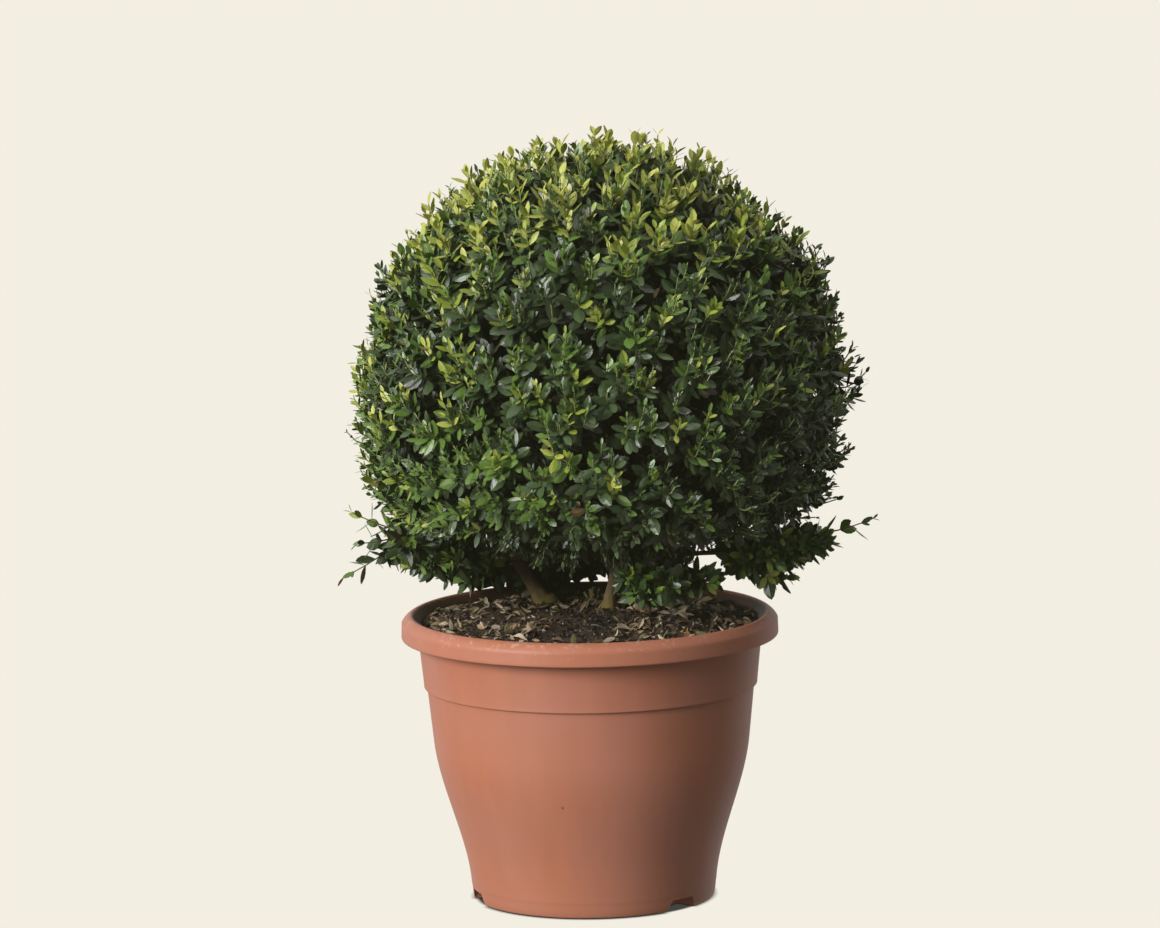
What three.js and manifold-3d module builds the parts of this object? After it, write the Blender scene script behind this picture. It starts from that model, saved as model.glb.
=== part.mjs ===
// Box topiary ball in its plant pot: a clipped crown of box on two short leaning stems.
//
// Frame: millimetres, +Z up, origin at the middle of the pot's flat underside, -Y is the front.
// Azimuths are degrees about +Z from +X, so the front is at -90. Elevations are degrees above level.

import * as THREE from "three";
import { mergeVertices } from "three/addons/utils/BufferGeometryUtils.js";
import Module from "manifold-3d";

const wasm = await Module();
wasm.setup();

// ---------------------------------------------------------------- driving dimensions

const GAP = 0.3; // clear space between neighbouring pieces

const POT = {
  height: 287.5,
  wall: 3,
  floor: 4,
  footRadius: 121.4,
  footEdge: 2, // rounding of the lowest edge
  slope: 0.1036, // even widening with height
  bellyStep: 20.2, // extra widening of the belly
  bellyLow: 19, // height at which the belly starts to widen
  bellyHigh: 160, // height at which it is full
  ledgeZ: 215, // the small step under the collar
  ledgeWidth: 3.1,
  ledgeRise: 1.2,
  collarRadius: 171.6,
  lipZ: 264.4, // underside of the lip
  lipRadius: 188.6,
  lipEdge: 1.6, // rounding of the lip's lower edge
  shoulderZ: 279.7, // crease above the lip's upright face
  shoulderRadius: 188.2,
  crestRadius: 179.8,
  mouthRadius: 176.5,
  mouthDrop: 1.2, // how far the mouth's edge is below the crest
  throatDrop: 8, // how far below the crest the mouth has narrowed to the wall
  sides: 40,
};

const NOTCH = {
  count: 3,
  firstAzimuth: -44,
  widthLow: 40,
  widthHigh: 28,
  height: 11.5,
  depth: 24,
  overshoot: 20, // how far the cutter reaches beyond the foot
};

const SOIL = {
  edgeZ: 278, // level at the wall
  moundZ: 284, // level of the flat top of the mound, where the stems stand
  moundRadius: 92,
};

const CROWN = {
  centre: [15, 0, 514],
  radius: 255, // to the tips of the leaves
  shell: 33, // how far the leaves stand out of the core
  coreFloorZ: 352,
  lowestTipZ: 337, // nothing of the crown hangs lower
  underside: { levelR: 90, fullR: 200, rise: 38 }, // level in its middle, and higher outside
  coreSlices: 24,
  coreBands: 13,
  sprays: 190, // places on the core where leaves stand out
  twigEvery: 6, // every sixth spray stands on a twig, the others are a pair of leaves
  twig: {
    baseR: 3, tipR: 2, tipLeafShare: 0.8,
    lowerPairAt: 0.75, upperPairAt: 0.9, // along the twig
    lowerSpread: 66, tipSpread: 36,
  },
  lowestSpray: -40, // elevation of the lowest sprays
  upturn: 0.3, // how far a spray turns up from straight outwards
  pairSpread: 50, // angle of a leaf to its spray's axis
  sunk: 6, // how deep roots sit in the core
  undersideLeaves: 14,
  undersideDroop: { least: 22, more: 10 },
  undersideSwing: 60,
  leaf: { length: 56, width: 33, thickness: 2.8 },
  twigLeaf: { length: 40, width: 24, thickness: 2.4 },
  seed: 11,
};

// Swellings and dents of the clipped outline: direction, height and angular spread.
const CROWN_LOBES = [
  { azimuth: 0, elevation: 48, rise: -18, spread: 7 },
  { azimuth: 0, elevation: 17, rise: -5, spread: 9 },
  { azimuth: 0, elevation: 30, rise: 10, spread: 5 },
  { azimuth: 0, elevation: 2, rise: 14, spread: 6 },
  { azimuth: 0, elevation: -26, rise: 14, spread: 9 },
  { azimuth: 0, elevation: 90, rise: -13, spread: 7 },
  { azimuth: 0, elevation: 58, rise: 5, spread: 5 },
  { azimuth: 180, elevation: 16, rise: -15, spread: 9 },
  { azimuth: 180, elevation: 40, rise: -24, spread: 5 },
  { azimuth: 168, elevation: 39, rise: -16, spread: 5 },
  { azimuth: 192, elevation: 39, rise: -16, spread: 5 },
  { azimuth: 180, elevation: 53, rise: 9, spread: 7 },
  { azimuth: 180, elevation: 62, rise: -6, spread: 5 },
  { azimuth: 180, elevation: -6, rise: -4, spread: 8 },
  { azimuth: 180, elevation: -24, rise: 5, spread: 9 },
  { azimuth: 100, elevation: 30, rise: -8, spread: 18 },
  { azimuth: 60, elevation: -5, rise: 5, spread: 16 },
  { azimuth: -120, elevation: 55, rise: 4, spread: 14 },
  { azimuth: -60, elevation: 5, rise: -4, spread: 16 },
  { azimuth: -108, elevation: -38, rise: -26, spread: 15 },
];

// A stem's foot stands on the soil. It leans towards its azimuth by its lean, and has a root flare.
const STEMS = [
  {
    name: "stem_left", foot: [-46, 76], azimuth: 178, lean: 33, height: 44,
    footR: 7.2, tipR: 5.4, flare: 7,
  },
  {
    name: "stem_right", foot: [19, 34], azimuth: 12, lean: 11, height: 40,
    footR: 5.8, tipR: 4.7, flare: 5,
  },
];
const STEM_SIDES = 10;
const STEM_FLARE = { reach: 0.13, buttresses: 3, depth: 0.35 }; // reach is a share of the stem
const STEM_BEND = { at: 0.45, rise: 0.06 }; // shares of the stem's height

// Boughs leave the top of a stem. An upright bough ends under the crown's core, and a low bough
// ends where a loose mass begins: at a radius from the crown's axis, an azimuth and a level.
const BOUGHS = [
  { name: "bough_left_upright", stem: "stem_left", end: { radius: 78, azimuth: 158 }, radii: [4.4, 3.4] },
  { name: "bough_left_inner", stem: "stem_left", end: { radius: 52, azimuth: 95 }, radii: [3.8, 3] },
  { name: "bough_right_upright", stem: "stem_right", end: { radius: 12, azimuth: 60 }, radii: [4.2, 3.4] },
  { name: "bough_right_inner", stem: "stem_right", end: { radius: 62, azimuth: 20 }, radii: [3.4, 2.8] },
  { name: "bough_left_low", stem: "stem_left", end: { radius: 140, azimuth: 178, z: 350 }, radii: [3.4, 2] },
  { name: "bough_right_low", stem: "stem_right", end: { radius: 130, azimuth: -3, z: 344 }, radii: [3.2, 2] },
  { name: "bough_back_low", stem: "stem_left", end: { radius: 118, azimuth: 97, z: 326 }, radii: [3.2, 2] },
  { name: "bough_front_low", stem: "stem_right", end: { radius: 56, azimuth: -60, z: 334 }, radii: [2.8, 2] },
  { name: "bough_middle_low", stem: "stem_left", end: { radius: 145, azimuth: 131, z: 320 }, radii: [2.4, 2] },
];
const BOUGH_SIDES = 6;
const BOUGH_START = 0.93; // share of its stem at which a bough leaves
const BOUGH_ONWARD = 16; // how far a bough carries on in its stem's direction before it turns
const BOUGH_ARRIVAL = { upright: 0.3, low: -0.045 }; // rise at its end, as a share of its span

const CUT_STUBS = {
  foot: [3, 72],
  knuckle: { footR: 8, topR: 4.4, height: 6 },
  stub: { count: 5, radius: 1.9, length: 17, shortest: 0.75, elevation: 58, spread: 22 },
  seed: 5,
};

// Loose foliage under and beside the ball. Each mass grows from the tip of its bough: a stem that
// runs on to its own end, side twigs along it, and any stray shoots with their own far ends.
const LOOSE_LEAF = { length: 30, width: 16, thickness: 1.8 };
const LOOSE_TWIG = {
  stemR: 1.9, sideR: 1.7, strayR: 1.8, tipR: 1.4, // radii where they start, and at every tip
  firstPairAt: 0.35, lastPairAt: 0.99, // along the twig
  spread: 55, tipSpread: 35, tipLeafShare: 0.8,
  sag: 0.08, // as a share of its length
  onward: 0.4, // share of its length that a mass's stem aims straight on from the bough
  strayFrom: 0.95, // along the stem
  shortest: 0.7, // the shortest side twig, as a share of the longest
};
const LOOSE_CLEARANCE = { crown: 8, rim: 3 }; // kept clear of the ball's outline and of the rim
// Fan is the angle of the side twigs to the mass's stem, and tilt is their elevation.
const LOOSE_MASSES = [
  {
    name: "low_foliage_left", bough: "bough_left_low", end: { radius: 198, azimuth: 178, z: 374 },
    twigs: 6, twigLength: 46, fan: [10, 110], tilt: [0, 28], seed: 21,
    strays: [
      { radius: 245, azimuth: 182, z: 362 },
      { radius: 261, azimuth: 176, z: 324 },
    ],
  },
  {
    name: "low_foliage_right", bough: "bough_right_low", end: { radius: 204, azimuth: -2, z: 366 },
    twigs: 6, twigLength: 42, fan: [10, 110], tilt: [-24, 30], seed: 22,
    strays: [{ radius: 270, azimuth: -4, z: 380 }],
  },
  {
    name: "low_foliage_back", bough: "bough_back_low", end: { radius: 172, azimuth: 92, z: 322 },
    twigs: 7, twigLength: 92, fan: [30, 115], tilt: [-20, 10], seed: 33, strays: [],
  },
  {
    name: "low_foliage_front", bough: "bough_front_low", end: { radius: 112, azimuth: -40, z: 336 },
    twigs: 5, twigLength: 36, fan: [15, 100], tilt: [-18, 20], seed: 24, strays: [],
  },
  {
    name: "low_foliage_middle", bough: "bough_middle_low", end: { radius: 182, azimuth: 132, z: 308 },
    twigs: 5, twigLength: 46, fan: [20, 100], tilt: [-20, 20], seed: 25,
    strays: [{ radius: 102, azimuth: 120, z: 300 }],
  },
];

const COLOURS = {
  pot: { colour: 0xb5694c, roughness: 0.55 },
  soil: { colour: 0x2b2019, roughness: 0.95 },
  bark: { colour: 0x7d6848, roughness: 0.9 },
  crown: { colour: 0x35591f, roughness: 0.45 },
  loose: { colour: 0x2c4a22, roughness: 0.45 },
};

// ---------------------------------------------------------------- small tools

const UP = new THREE.Vector3(0, 0, 1);
const GOLDEN_ANGLE = Math.PI * (3 - Math.sqrt(5));
const radians = THREE.MathUtils.degToRad;

// Repeatable numbers from 0 to 1.
function randomSource(seed) {
  let state = seed >>> 0;
  return () => {
    state = (state + 0x6d2b79f5) >>> 0;
    let mixed = Math.imul(state ^ (state >>> 15), state | 1);
    mixed ^= mixed + Math.imul(mixed ^ (mixed >>> 7), mixed | 61);
    return ((mixed ^ (mixed >>> 14)) >>> 0) / 4294967296;
  };
}

function direction(azimuth, elevation) {
  const level = Math.cos(radians(elevation));
  return new THREE.Vector3(
    level * Math.cos(radians(azimuth)),
    level * Math.sin(radians(azimuth)),
    Math.sin(radians(elevation)),
  );
}

function toSolid(geometry) {
  geometry.deleteAttribute("normal");
  geometry.deleteAttribute("uv");
  const merged = mergeVertices(geometry, 1e-4);
  return new wasm.Manifold(new wasm.Mesh({
    numProp: 3,
    vertProperties: new Float32Array(merged.attributes.position.array),
    triVerts: new Uint32Array(merged.index.array),
  }));
}

function toGeometry(solid) {
  const mesh = solid.getMesh();
  const geometry = new THREE.BufferGeometry();
  geometry.setAttribute("position", new THREE.BufferAttribute(mesh.vertProperties, 3));
  geometry.setIndex(new THREE.BufferAttribute(mesh.triVerts, 1));
  return geometry;
}

function join(solids) {
  return solids.reduce((whole, solid) => whole.add(solid));
}

// The largest connected body of a solid, without any loose scrap.
function largestBody(solid) {
  const bodies = solid.decompose();
  return bodies.reduce((best, body) => (body.volume() > best.volume() ? body : best));
}

// A closed solid through rings of points, from the lowest ring to the highest.
function loftRings(rings) {
  const sides = rings[0].length;
  const index = [];
  for (let ring = 0; ring + 1 < rings.length; ring += 1) {
    for (let side = 0; side < sides; side += 1) {
      const a = ring * sides + side;
      const b = ring * sides + ((side + 1) % sides);
      index.push(a, b, b + sides, a, b + sides, a + sides);
    }
  }
  const last = (rings.length - 1) * sides;
  for (let side = 1; side + 1 < sides; side += 1) {
    index.push(0, side + 1, side);
    index.push(last, last + side, last + side + 1);
  }
  const geometry = new THREE.BufferGeometry();
  const positions = rings.flat().flatMap((point) => point.toArray());
  geometry.setAttribute("position", new THREE.BufferAttribute(new Float32Array(positions), 3));
  geometry.setIndex(index);
  return geometry;
}

// Rings square to a curve. level(t) from 0 to 1 turns a ring's plane back to level, for flat feet.
function limbRings(curve, steps, sides, radiusAt, level = () => 0) {
  const rings = [];
  for (let step = 0; step <= steps; step += 1) {
    const t = step / steps;
    const centre = curve.getPoint(t);
    const axis = curve.getTangent(t).lerp(UP, level(t)).normalize();
    const across = new THREE.Vector3(0, 1, 0).projectOnPlane(axis);
    if (across.lengthSq() < 0.05) across.set(1, 0, 0).projectOnPlane(axis);
    across.normalize();
    const along = new THREE.Vector3().crossVectors(across, axis);
    rings.push(Array.from({ length: sides }, (_, side) => {
      const turn = (2 * Math.PI * side) / sides;
      const radius = radiusAt(t, turn);
      return centre.clone()
        .addScaledVector(along, radius * Math.cos(turn))
        .addScaledVector(across, radius * Math.sin(turn));
    }));
  }
  return rings;
}

// ---------------------------------------------------------------- pot and soil

function smooth(low, high, value) {
  return THREE.MathUtils.smoothstep(value, low, high);
}

// Outer radius of the pot's wall, from the foot to the ledge.
function wallRadius(z) {
  return POT.footRadius + POT.slope * z + POT.bellyStep * smooth(POT.bellyLow, POT.bellyHigh, z);
}

const WALL_LEVELS = [26, 50, 76, 104, 134, 172];

function outerProfile() {
  const wall = WALL_LEVELS.map((z) => [wallRadius(z), z]);
  const ledgeR = wallRadius(POT.ledgeZ);
  return [
    [0, 0],
    [POT.footRadius - POT.footEdge, 0],
    [POT.footRadius, POT.footEdge],
    ...wall,
    [ledgeR, POT.ledgeZ],
    [ledgeR + POT.ledgeWidth, POT.ledgeZ + POT.ledgeRise],
    [POT.collarRadius, POT.lipZ],
    [POT.lipRadius - POT.lipEdge, POT.lipZ],
    [POT.lipRadius, POT.lipZ + POT.lipEdge],
    [POT.shoulderRadius, POT.shoulderZ],
    [POT.crestRadius, POT.height],
    [POT.mouthRadius, POT.height - POT.mouthDrop],
  ];
}

// The inside of the pot from the floor to the underside of the lip, drawn in by extra.
function innerProfile(extra) {
  const inner = (z) => Math.min(wallRadius(z), POT.collarRadius) - POT.wall - extra;
  const levels = WALL_LEVELS.filter((z, place) => place % 2 === 1);
  return [
    [0, POT.floor + extra],
    [inner(0) - POT.floor, POT.floor + extra],
    [inner(0), 3 * POT.floor],
    ...levels.map((z) => [inner(z), z]),
    [inner(POT.ledgeZ), POT.ledgeZ],
    [inner(POT.height), POT.lipZ],
  ];
}

function turned(profile, sides) {
  const points = profile.map(([radius, z]) => new THREE.Vector2(radius, z));
  return toSolid(new THREE.LatheGeometry(points, sides).rotateX(Math.PI / 2));
}

// A block with a trapezoid front that reaches in from beyond the pot's foot.
function notchBlock(azimuth, grow) {
  const low = NOTCH.widthLow / 2 + grow;
  const high = NOTCH.widthHigh / 2 + grow;
  const bottom = grow > 0 ? 0 : -5;
  const outline = new THREE.Shape([
    new THREE.Vector2(-low, bottom),
    new THREE.Vector2(low, bottom),
    new THREE.Vector2(high, NOTCH.height + grow),
    new THREE.Vector2(-high, NOTCH.height + grow),
  ]);
  const depth = NOTCH.depth + grow + NOTCH.overshoot;
  const block = new THREE.ExtrudeGeometry(outline, { depth, bevelEnabled: false });
  block.rotateX(Math.PI / 2).rotateZ(Math.PI / 2);
  block.translate(POT.footRadius - NOTCH.depth - grow, 0, 0);
  return toSolid(block.rotateZ(radians(azimuth)));
}

function notchBlocks(grow) {
  return Array.from({ length: NOTCH.count }, (_, turn) => (
    notchBlock(NOTCH.firstAzimuth + (turn * 360) / NOTCH.count, grow)
  ));
}

function makePot() {
  const rimZ = POT.height - POT.mouthDrop;
  const outside = turned([...outerProfile(), [0, rimZ]], POT.sides);
  const throat = [POT.collarRadius - POT.wall, POT.height - POT.throatDrop];
  const mouth = [[POT.mouthRadius, rimZ], [POT.mouthRadius, POT.height], [0, POT.height]];
  const inside = turned([...innerProfile(0), throat, ...mouth], POT.sides);
  const housings = join(notchBlocks(POT.wall)).intersect(outside);
  return outside.subtract(inside).add(housings).subtract(join(notchBlocks(0)));
}

function makeSoil() {
  const edgeR = POT.collarRadius - POT.wall - GAP;
  const rise = SOIL.moundZ - SOIL.edgeZ;
  const slope = [0.2, 0.5, 0.8].map((share) => (
    [edgeR + (SOIL.moundRadius - edgeR) * share, SOIL.edgeZ + rise * smooth(0, 1, share)]
  ));
  const top = [...slope, [SOIL.moundRadius, SOIL.moundZ], [0, SOIL.moundZ]];
  const fill = turned([...innerProfile(GAP), [edgeR, SOIL.edgeZ], ...top], POT.sides);
  return fill.subtract(join(notchBlocks(POT.wall + GAP)));
}

// ---------------------------------------------------------------- the crown's outline

const CROWN_CENTRE = new THREE.Vector3(...CROWN.centre);

// Distance from the crown's centre to the tips of its leaves in one direction.
function crownReach(towards) {
  return CROWN_LOBES.reduce((reach, lobe) => {
    const angle = THREE.MathUtils.radToDeg(towards.angleTo(direction(lobe.azimuth, lobe.elevation)));
    return reach + lobe.rise * Math.exp(-((angle / lobe.spread) ** 2));
  }, CROWN.radius);
}

// The underside at a place: a level, and what it rises by outside the level middle.
function undersideZ(level, point) {
  const { levelR, fullR, rise } = CROWN.underside;
  const radius = Math.hypot(point.x - CROWN_CENTRE.x, point.y - CROWN_CENTRE.y);
  return level + rise * smooth(levelR, fullR, radius);
}

function isInCrown(point, margin) {
  const offset = point.clone().sub(CROWN_CENTRE);
  const reach = crownReach(offset.clone().normalize());
  return point.z > undersideZ(CROWN.lowestTipZ, point) + margin && offset.length() < reach - margin;
}

// A place named by its radius and azimuth about the crown's axis, and its level.
function placeAbout(spot) {
  const level = spot.z ?? CROWN.coreFloorZ - GAP;
  const out = direction(spot.azimuth, 0).multiplyScalar(spot.radius);
  return new THREE.Vector3(CROWN_CENTRE.x, CROWN_CENTRE.y, level).add(out);
}

// ---------------------------------------------------------------- stems and boughs

// A stem's middle line, from its foot on the soil to its top.
function stemCurve(stem) {
  const foot = new THREE.Vector3(...stem.foot, SOIL.moundZ + GAP);
  const run = direction(stem.azimuth, 0).multiplyScalar(stem.height * Math.tan(radians(stem.lean)));
  const top = foot.clone().add(run).addScaledVector(UP, stem.height);
  const bend = foot.clone().lerp(top, STEM_BEND.at).addScaledVector(UP, STEM_BEND.rise * stem.height);
  return new THREE.QuadraticBezierCurve3(foot, bend, top);
}

// The stem's radius tapers evenly, and flares into three root buttresses at the foot.
function makeStem(stem, grow = 0) {
  const radiusAt = (t, turn) => {
    const taper = THREE.MathUtils.lerp(stem.footR, stem.tipR, t);
    const buttress = 1 + STEM_FLARE.depth * Math.cos(STEM_FLARE.buttresses * turn + stem.azimuth);
    return taper + stem.flare * Math.exp(-t / STEM_FLARE.reach) * buttress + grow;
  };
  const level = (t) => (t === 0 ? 1 : 0);
  return toSolid(loftRings(limbRings(stemCurve(stem), 8, STEM_SIDES, radiusAt, level)));
}

function boughCurve(bough) {
  const stem = STEMS.find((candidate) => candidate.name === bough.stem);
  const stemLine = stemCurve(stem);
  const start = stemLine.getPoint(BOUGH_START);
  const end = placeAbout(bough.end);
  const onward = stemLine.getTangent(1).multiplyScalar(BOUGH_ONWARD);
  const arrival = bough.end.z === undefined ? BOUGH_ARRIVAL.upright : BOUGH_ARRIVAL.low;
  const arrive = end.clone().addScaledVector(UP, -arrival * start.distanceTo(end));
  return new THREE.CubicBezierCurve3(start, start.clone().add(onward), arrive, end);
}

function makeBough(bough, grow = 0) {
  const radiusAt = (t) => THREE.MathUtils.lerp(...bough.radii, t) + grow;
  const level = (t) => (t === 1 && bough.end.z === undefined ? 1 : 0);
  return toSolid(loftRings(limbRings(boughCurve(bough), 7, BOUGH_SIDES, radiusAt, level)));
}

// Every limb in order, each cut clear of the ones before it.
function makeLimbs() {
  const limbs = [];
  const grown = [];
  const add = (spec, make) => {
    const solid = grown.reduce((rest, neighbour) => rest.subtract(neighbour), make(spec));
    limbs.push({ name: spec.name, solid: largestBody(solid) });
    grown.push(make(spec, GAP));
  };
  STEMS.forEach((stem) => add(stem, makeStem));
  BOUGHS.forEach((bough) => add(bough, makeBough));
  return { limbs, grown };
}

// A knuckle of old wood with a few short stubs, cut off square.
function makeCutStubs() {
  const random = randomSource(CUT_STUBS.seed);
  const { knuckle, stub } = CUT_STUBS;
  const foot = new THREE.Vector3(...CUT_STUBS.foot, SOIL.moundZ + GAP);
  const top = foot.clone().addScaledVector(UP, knuckle.height);
  const knuckleR = (t) => THREE.MathUtils.lerp(knuckle.footR, knuckle.topR, t * t);
  const base = toSolid(loftRings(limbRings(new THREE.LineCurve3(foot, top), 2, 8, knuckleR)));
  const stubs = Array.from({ length: stub.count }, (_, place) => {
    const azimuth = (360 / stub.count) * (place + 0.5 * random());
    const along = direction(azimuth, stub.elevation + stub.spread * random());
    const start = foot.clone().lerp(top, 0.3);
    const length = stub.length * THREE.MathUtils.lerp(stub.shortest, 1, random());
    const end = start.clone().addScaledVector(along, length);
    return toSolid(loftRings(limbRings(new THREE.LineCurve3(start, end), 1, 6, () => stub.radius)));
  });
  return join([base, ...stubs]);
}

// ---------------------------------------------------------------- leaves and twigs

// A leaf of eight faces: pointed at root and tip, widest halfway, face turned towards facing.
function makeLeaf(root, along, facing, size) {
  const across = new THREE.Vector3().crossVectors(facing, along).normalize();
  const normal = new THREE.Vector3().crossVectors(along, across);
  const leaf = new THREE.OctahedronGeometry(0.5);
  leaf.translate(0.5, 0, 0);
  leaf.scale(size.length, size.width, size.thickness);
  leaf.applyMatrix4(new THREE.Matrix4().makeBasis(along, across, normal).setPosition(root));
  return toSolid(leaf);
}

// A three-sided tapering twig along a curve.
function makeTwig(curve, steps, baseR, tipR) {
  const radiusAt = (t) => THREE.MathUtils.lerp(baseR, tipR, t);
  return toSolid(loftRings(limbRings(curve, steps, 3, radiusAt)));
}

// Two opposite leaves at a point of a twig. spread is their angle to the twig.
function leafPair(point, axis, turn, spread, size, isAllowed) {
  const side = Math.abs(axis.z) > 0.9 ? new THREE.Vector3(1, 0, 0) : UP.clone();
  side.projectOnPlane(axis).normalize().applyAxisAngle(axis, turn);
  const leaves = [];
  for (const sign of [1, -1]) {
    const along = axis.clone().multiplyScalar(Math.cos(spread));
    along.addScaledVector(side, sign * Math.sin(spread)).normalize();
    const facing = axis.clone().addScaledVector(along, -axis.dot(along));
    const root = point.clone().addScaledVector(along, -0.02 * size.length);
    const tip = root.clone().addScaledVector(along, size.length);
    if (isAllowed(tip)) leaves.push(makeLeaf(root, along, facing, size));
  }
  return leaves;
}

// ---------------------------------------------------------------- the crown

function makeCore() {
  const core = new THREE.SphereGeometry(1, CROWN.coreSlices, CROWN.coreBands).rotateX(Math.PI / 2);
  const points = core.attributes.position;
  const towards = new THREE.Vector3();
  for (let place = 0; place < points.count; place += 1) {
    towards.fromBufferAttribute(points, place).normalize();
    towards.multiplyScalar(crownReach(towards) - CROWN.shell).add(CROWN_CENTRE);
    towards.z = Math.max(towards.z, undersideZ(CROWN.coreFloorZ, towards));
    points.setXYZ(place, towards.x, towards.y, towards.z);
  }
  return toSolid(core);
}

// Directions spread evenly over the ball by the golden angle, down to the lowest elevation.
function spreadDirections(count, lowest, random, wobble) {
  const span = 1 - Math.sin(radians(lowest));
  return Array.from({ length: count }, (_, place) => {
    const rise = 1 - (span * (place + 0.5)) / count;
    const level = Math.sqrt(1 - rise * rise);
    const azimuth = place * GOLDEN_ANGLE;
    const towards = new THREE.Vector3(level * Math.cos(azimuth), level * Math.sin(azimuth), rise);
    towards.x += wobble * (random() - 0.5);
    towards.y += wobble * (random() - 0.5);
    towards.z += wobble * (random() - 0.5);
    return towards.normalize();
  });
}

// The spray's axis starts in the core and turns up a little from straight outwards.
function sprayAxis(towards) {
  const turnedUp = UP.clone().projectOnPlane(towards).multiplyScalar(CROWN.upturn);
  return towards.clone().add(turnedUp).normalize();
}

// A pair of leaves with a common root in the core.
function crownPair(towards, turn) {
  const size = CROWN.leaf;
  const root = CROWN_CENTRE.clone().addScaledVector(towards, crownReach(towards) - CROWN.shell - CROWN.sunk);
  const isAllowed = (point) => isInCrown(point, 0);
  return leafPair(root, sprayAxis(towards), turn, radians(CROWN.pairSpread), size, isAllowed);
}

// A twig out of the core with a spread pair of leaves and a closer pair at its tip.
function crownTwig(towards, turn) {
  const size = CROWN.twigLeaf;
  const { baseR, tipR, lowerPairAt, upperPairAt, lowerSpread, tipSpread, tipLeafShare } = CROWN.twig;
  const axis = sprayAxis(towards);
  const base = CROWN_CENTRE.clone().addScaledVector(towards, crownReach(towards) - CROWN.shell - CROWN.sunk);
  const tip = base.clone().addScaledVector(axis, CROWN.shell + CROWN.sunk - tipLeafShare * size.length);
  const isAllowed = (point) => isInCrown(point, -2);
  const pair = (share, quarter, spread) => (
    leafPair(base.clone().lerp(tip, share), axis, turn + quarter, radians(spread), size, isAllowed)
  );
  return [
    makeTwig(new THREE.LineCurve3(base, tip), 1, baseR, tipR),
    ...pair(lowerPairAt, 0, lowerSpread),
    ...pair(upperPairAt, Math.PI / 2, tipSpread),
  ];
}

// Leaves that hang from the underside of the core, on a golden-angle spiral.
function crownUndersideLeaves(random) {
  const floorR = Math.sqrt((CROWN.radius - CROWN.shell) ** 2 - (CROWN.centre[2] - CROWN.coreFloorZ) ** 2);
  const { least, more } = CROWN.undersideDroop;
  return Array.from({ length: CROWN.undersideLeaves }, (_, place) => {
    const radius = floorR * Math.sqrt((place + 0.5) / CROWN.undersideLeaves);
    const azimuth = THREE.MathUtils.radToDeg(place * GOLDEN_ANGLE);
    const root = placeAbout({ radius, azimuth, z: CROWN.coreFloorZ });
    root.z = undersideZ(CROWN.coreFloorZ + CROWN.sunk, root);
    const swing = CROWN.undersideSwing * (random() - 0.5);
    const along = direction(azimuth + swing, -least - more * random());
    return makeLeaf(root, along, UP, LOOSE_LEAF);
  });
}

function isClearOf(solid, neighbours) {
  return neighbours.every((neighbour) => solid.intersect(neighbour).isEmpty());
}

function makeCrown(core, neighbours) {
  const random = randomSource(CROWN.seed);
  const directions = spreadDirections(CROWN.sprays, CROWN.lowestSpray, random, 0.05);
  const sprays = directions.flatMap((towards, place) => {
    const turn = random() * Math.PI;
    return place % CROWN.twigEvery === 0 ? crownTwig(towards, turn) : crownPair(towards, turn);
  });
  const leaves = [...sprays, ...crownUndersideLeaves(random)];
  return largestBody(join([core, ...leaves.filter((leaf) => isClearOf(leaf, neighbours))]));
}

// ---------------------------------------------------------------- loose foliage

// A line that sags a little between two points.
function saggingCurve(start, end) {
  const middle = start.clone().lerp(end, 0.5);
  middle.addScaledVector(UP, -LOOSE_TWIG.sag * start.distanceTo(end));
  return new THREE.QuadraticBezierCurve3(start, middle, end);
}

// A leafy twig along a curve, with crossed pairs of leaves and a closer pair at its tip.
function leafyTwig(curve, baseR, pairs, random) {
  const { tipR, firstPairAt, lastPairAt, spread: widest, tipSpread, tipLeafShare } = LOOSE_TWIG;
  const tipLeaf = { ...LOOSE_LEAF, length: LOOSE_LEAF.length * tipLeafShare };
  const solids = [makeTwig(curve, 2, baseR, tipR)];
  for (let pair = 0; pair < pairs; pair += 1) {
    const t = THREE.MathUtils.lerp(firstPairAt, lastPairAt, pair / Math.max(1, pairs - 1));
    const isLast = pair === pairs - 1;
    const size = isLast ? tipLeaf : LOOSE_LEAF;
    const turn = (pair * Math.PI) / 2 + 0.5 * random();
    const spread = radians(isLast ? tipSpread : widest);
    solids.push(...leafPair(curve.getPoint(t), curve.getTangent(t), turn, spread, size, isInLooseSpace));
  }
  return solids;
}

// A loose mass may fill the space under the crown and outside it, above the level of the pot's rim.
function isInLooseSpace(point) {
  return !isInCrown(point, LOOSE_CLEARANCE.crown) && point.z > POT.height + LOOSE_CLEARANCE.rim;
}

// Side twigs leave the stem to left and right in turn.
function sideTwigs(mass, stem, random) {
  const outwards = stem.v2.clone().sub(stem.v0);
  const heading = THREE.MathUtils.radToDeg(Math.atan2(outwards.y, outwards.x));
  return Array.from({ length: mass.twigs }, (_, place) => {
    const root = stem.getPoint((place + 0.8) / (mass.twigs + 1.2));
    const side = place % 2 === 0 ? 1 : -1;
    const turn = side * THREE.MathUtils.lerp(...mass.fan, random());
    const towards = direction(heading + turn, THREE.MathUtils.lerp(...mass.tilt, random()));
    const share = THREE.MathUtils.lerp(1, LOOSE_TWIG.shortest, random());
    const tip = root.clone().addScaledVector(towards, mass.twigLength * share);
    return saggingCurve(root, tip);
  });
}

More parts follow.
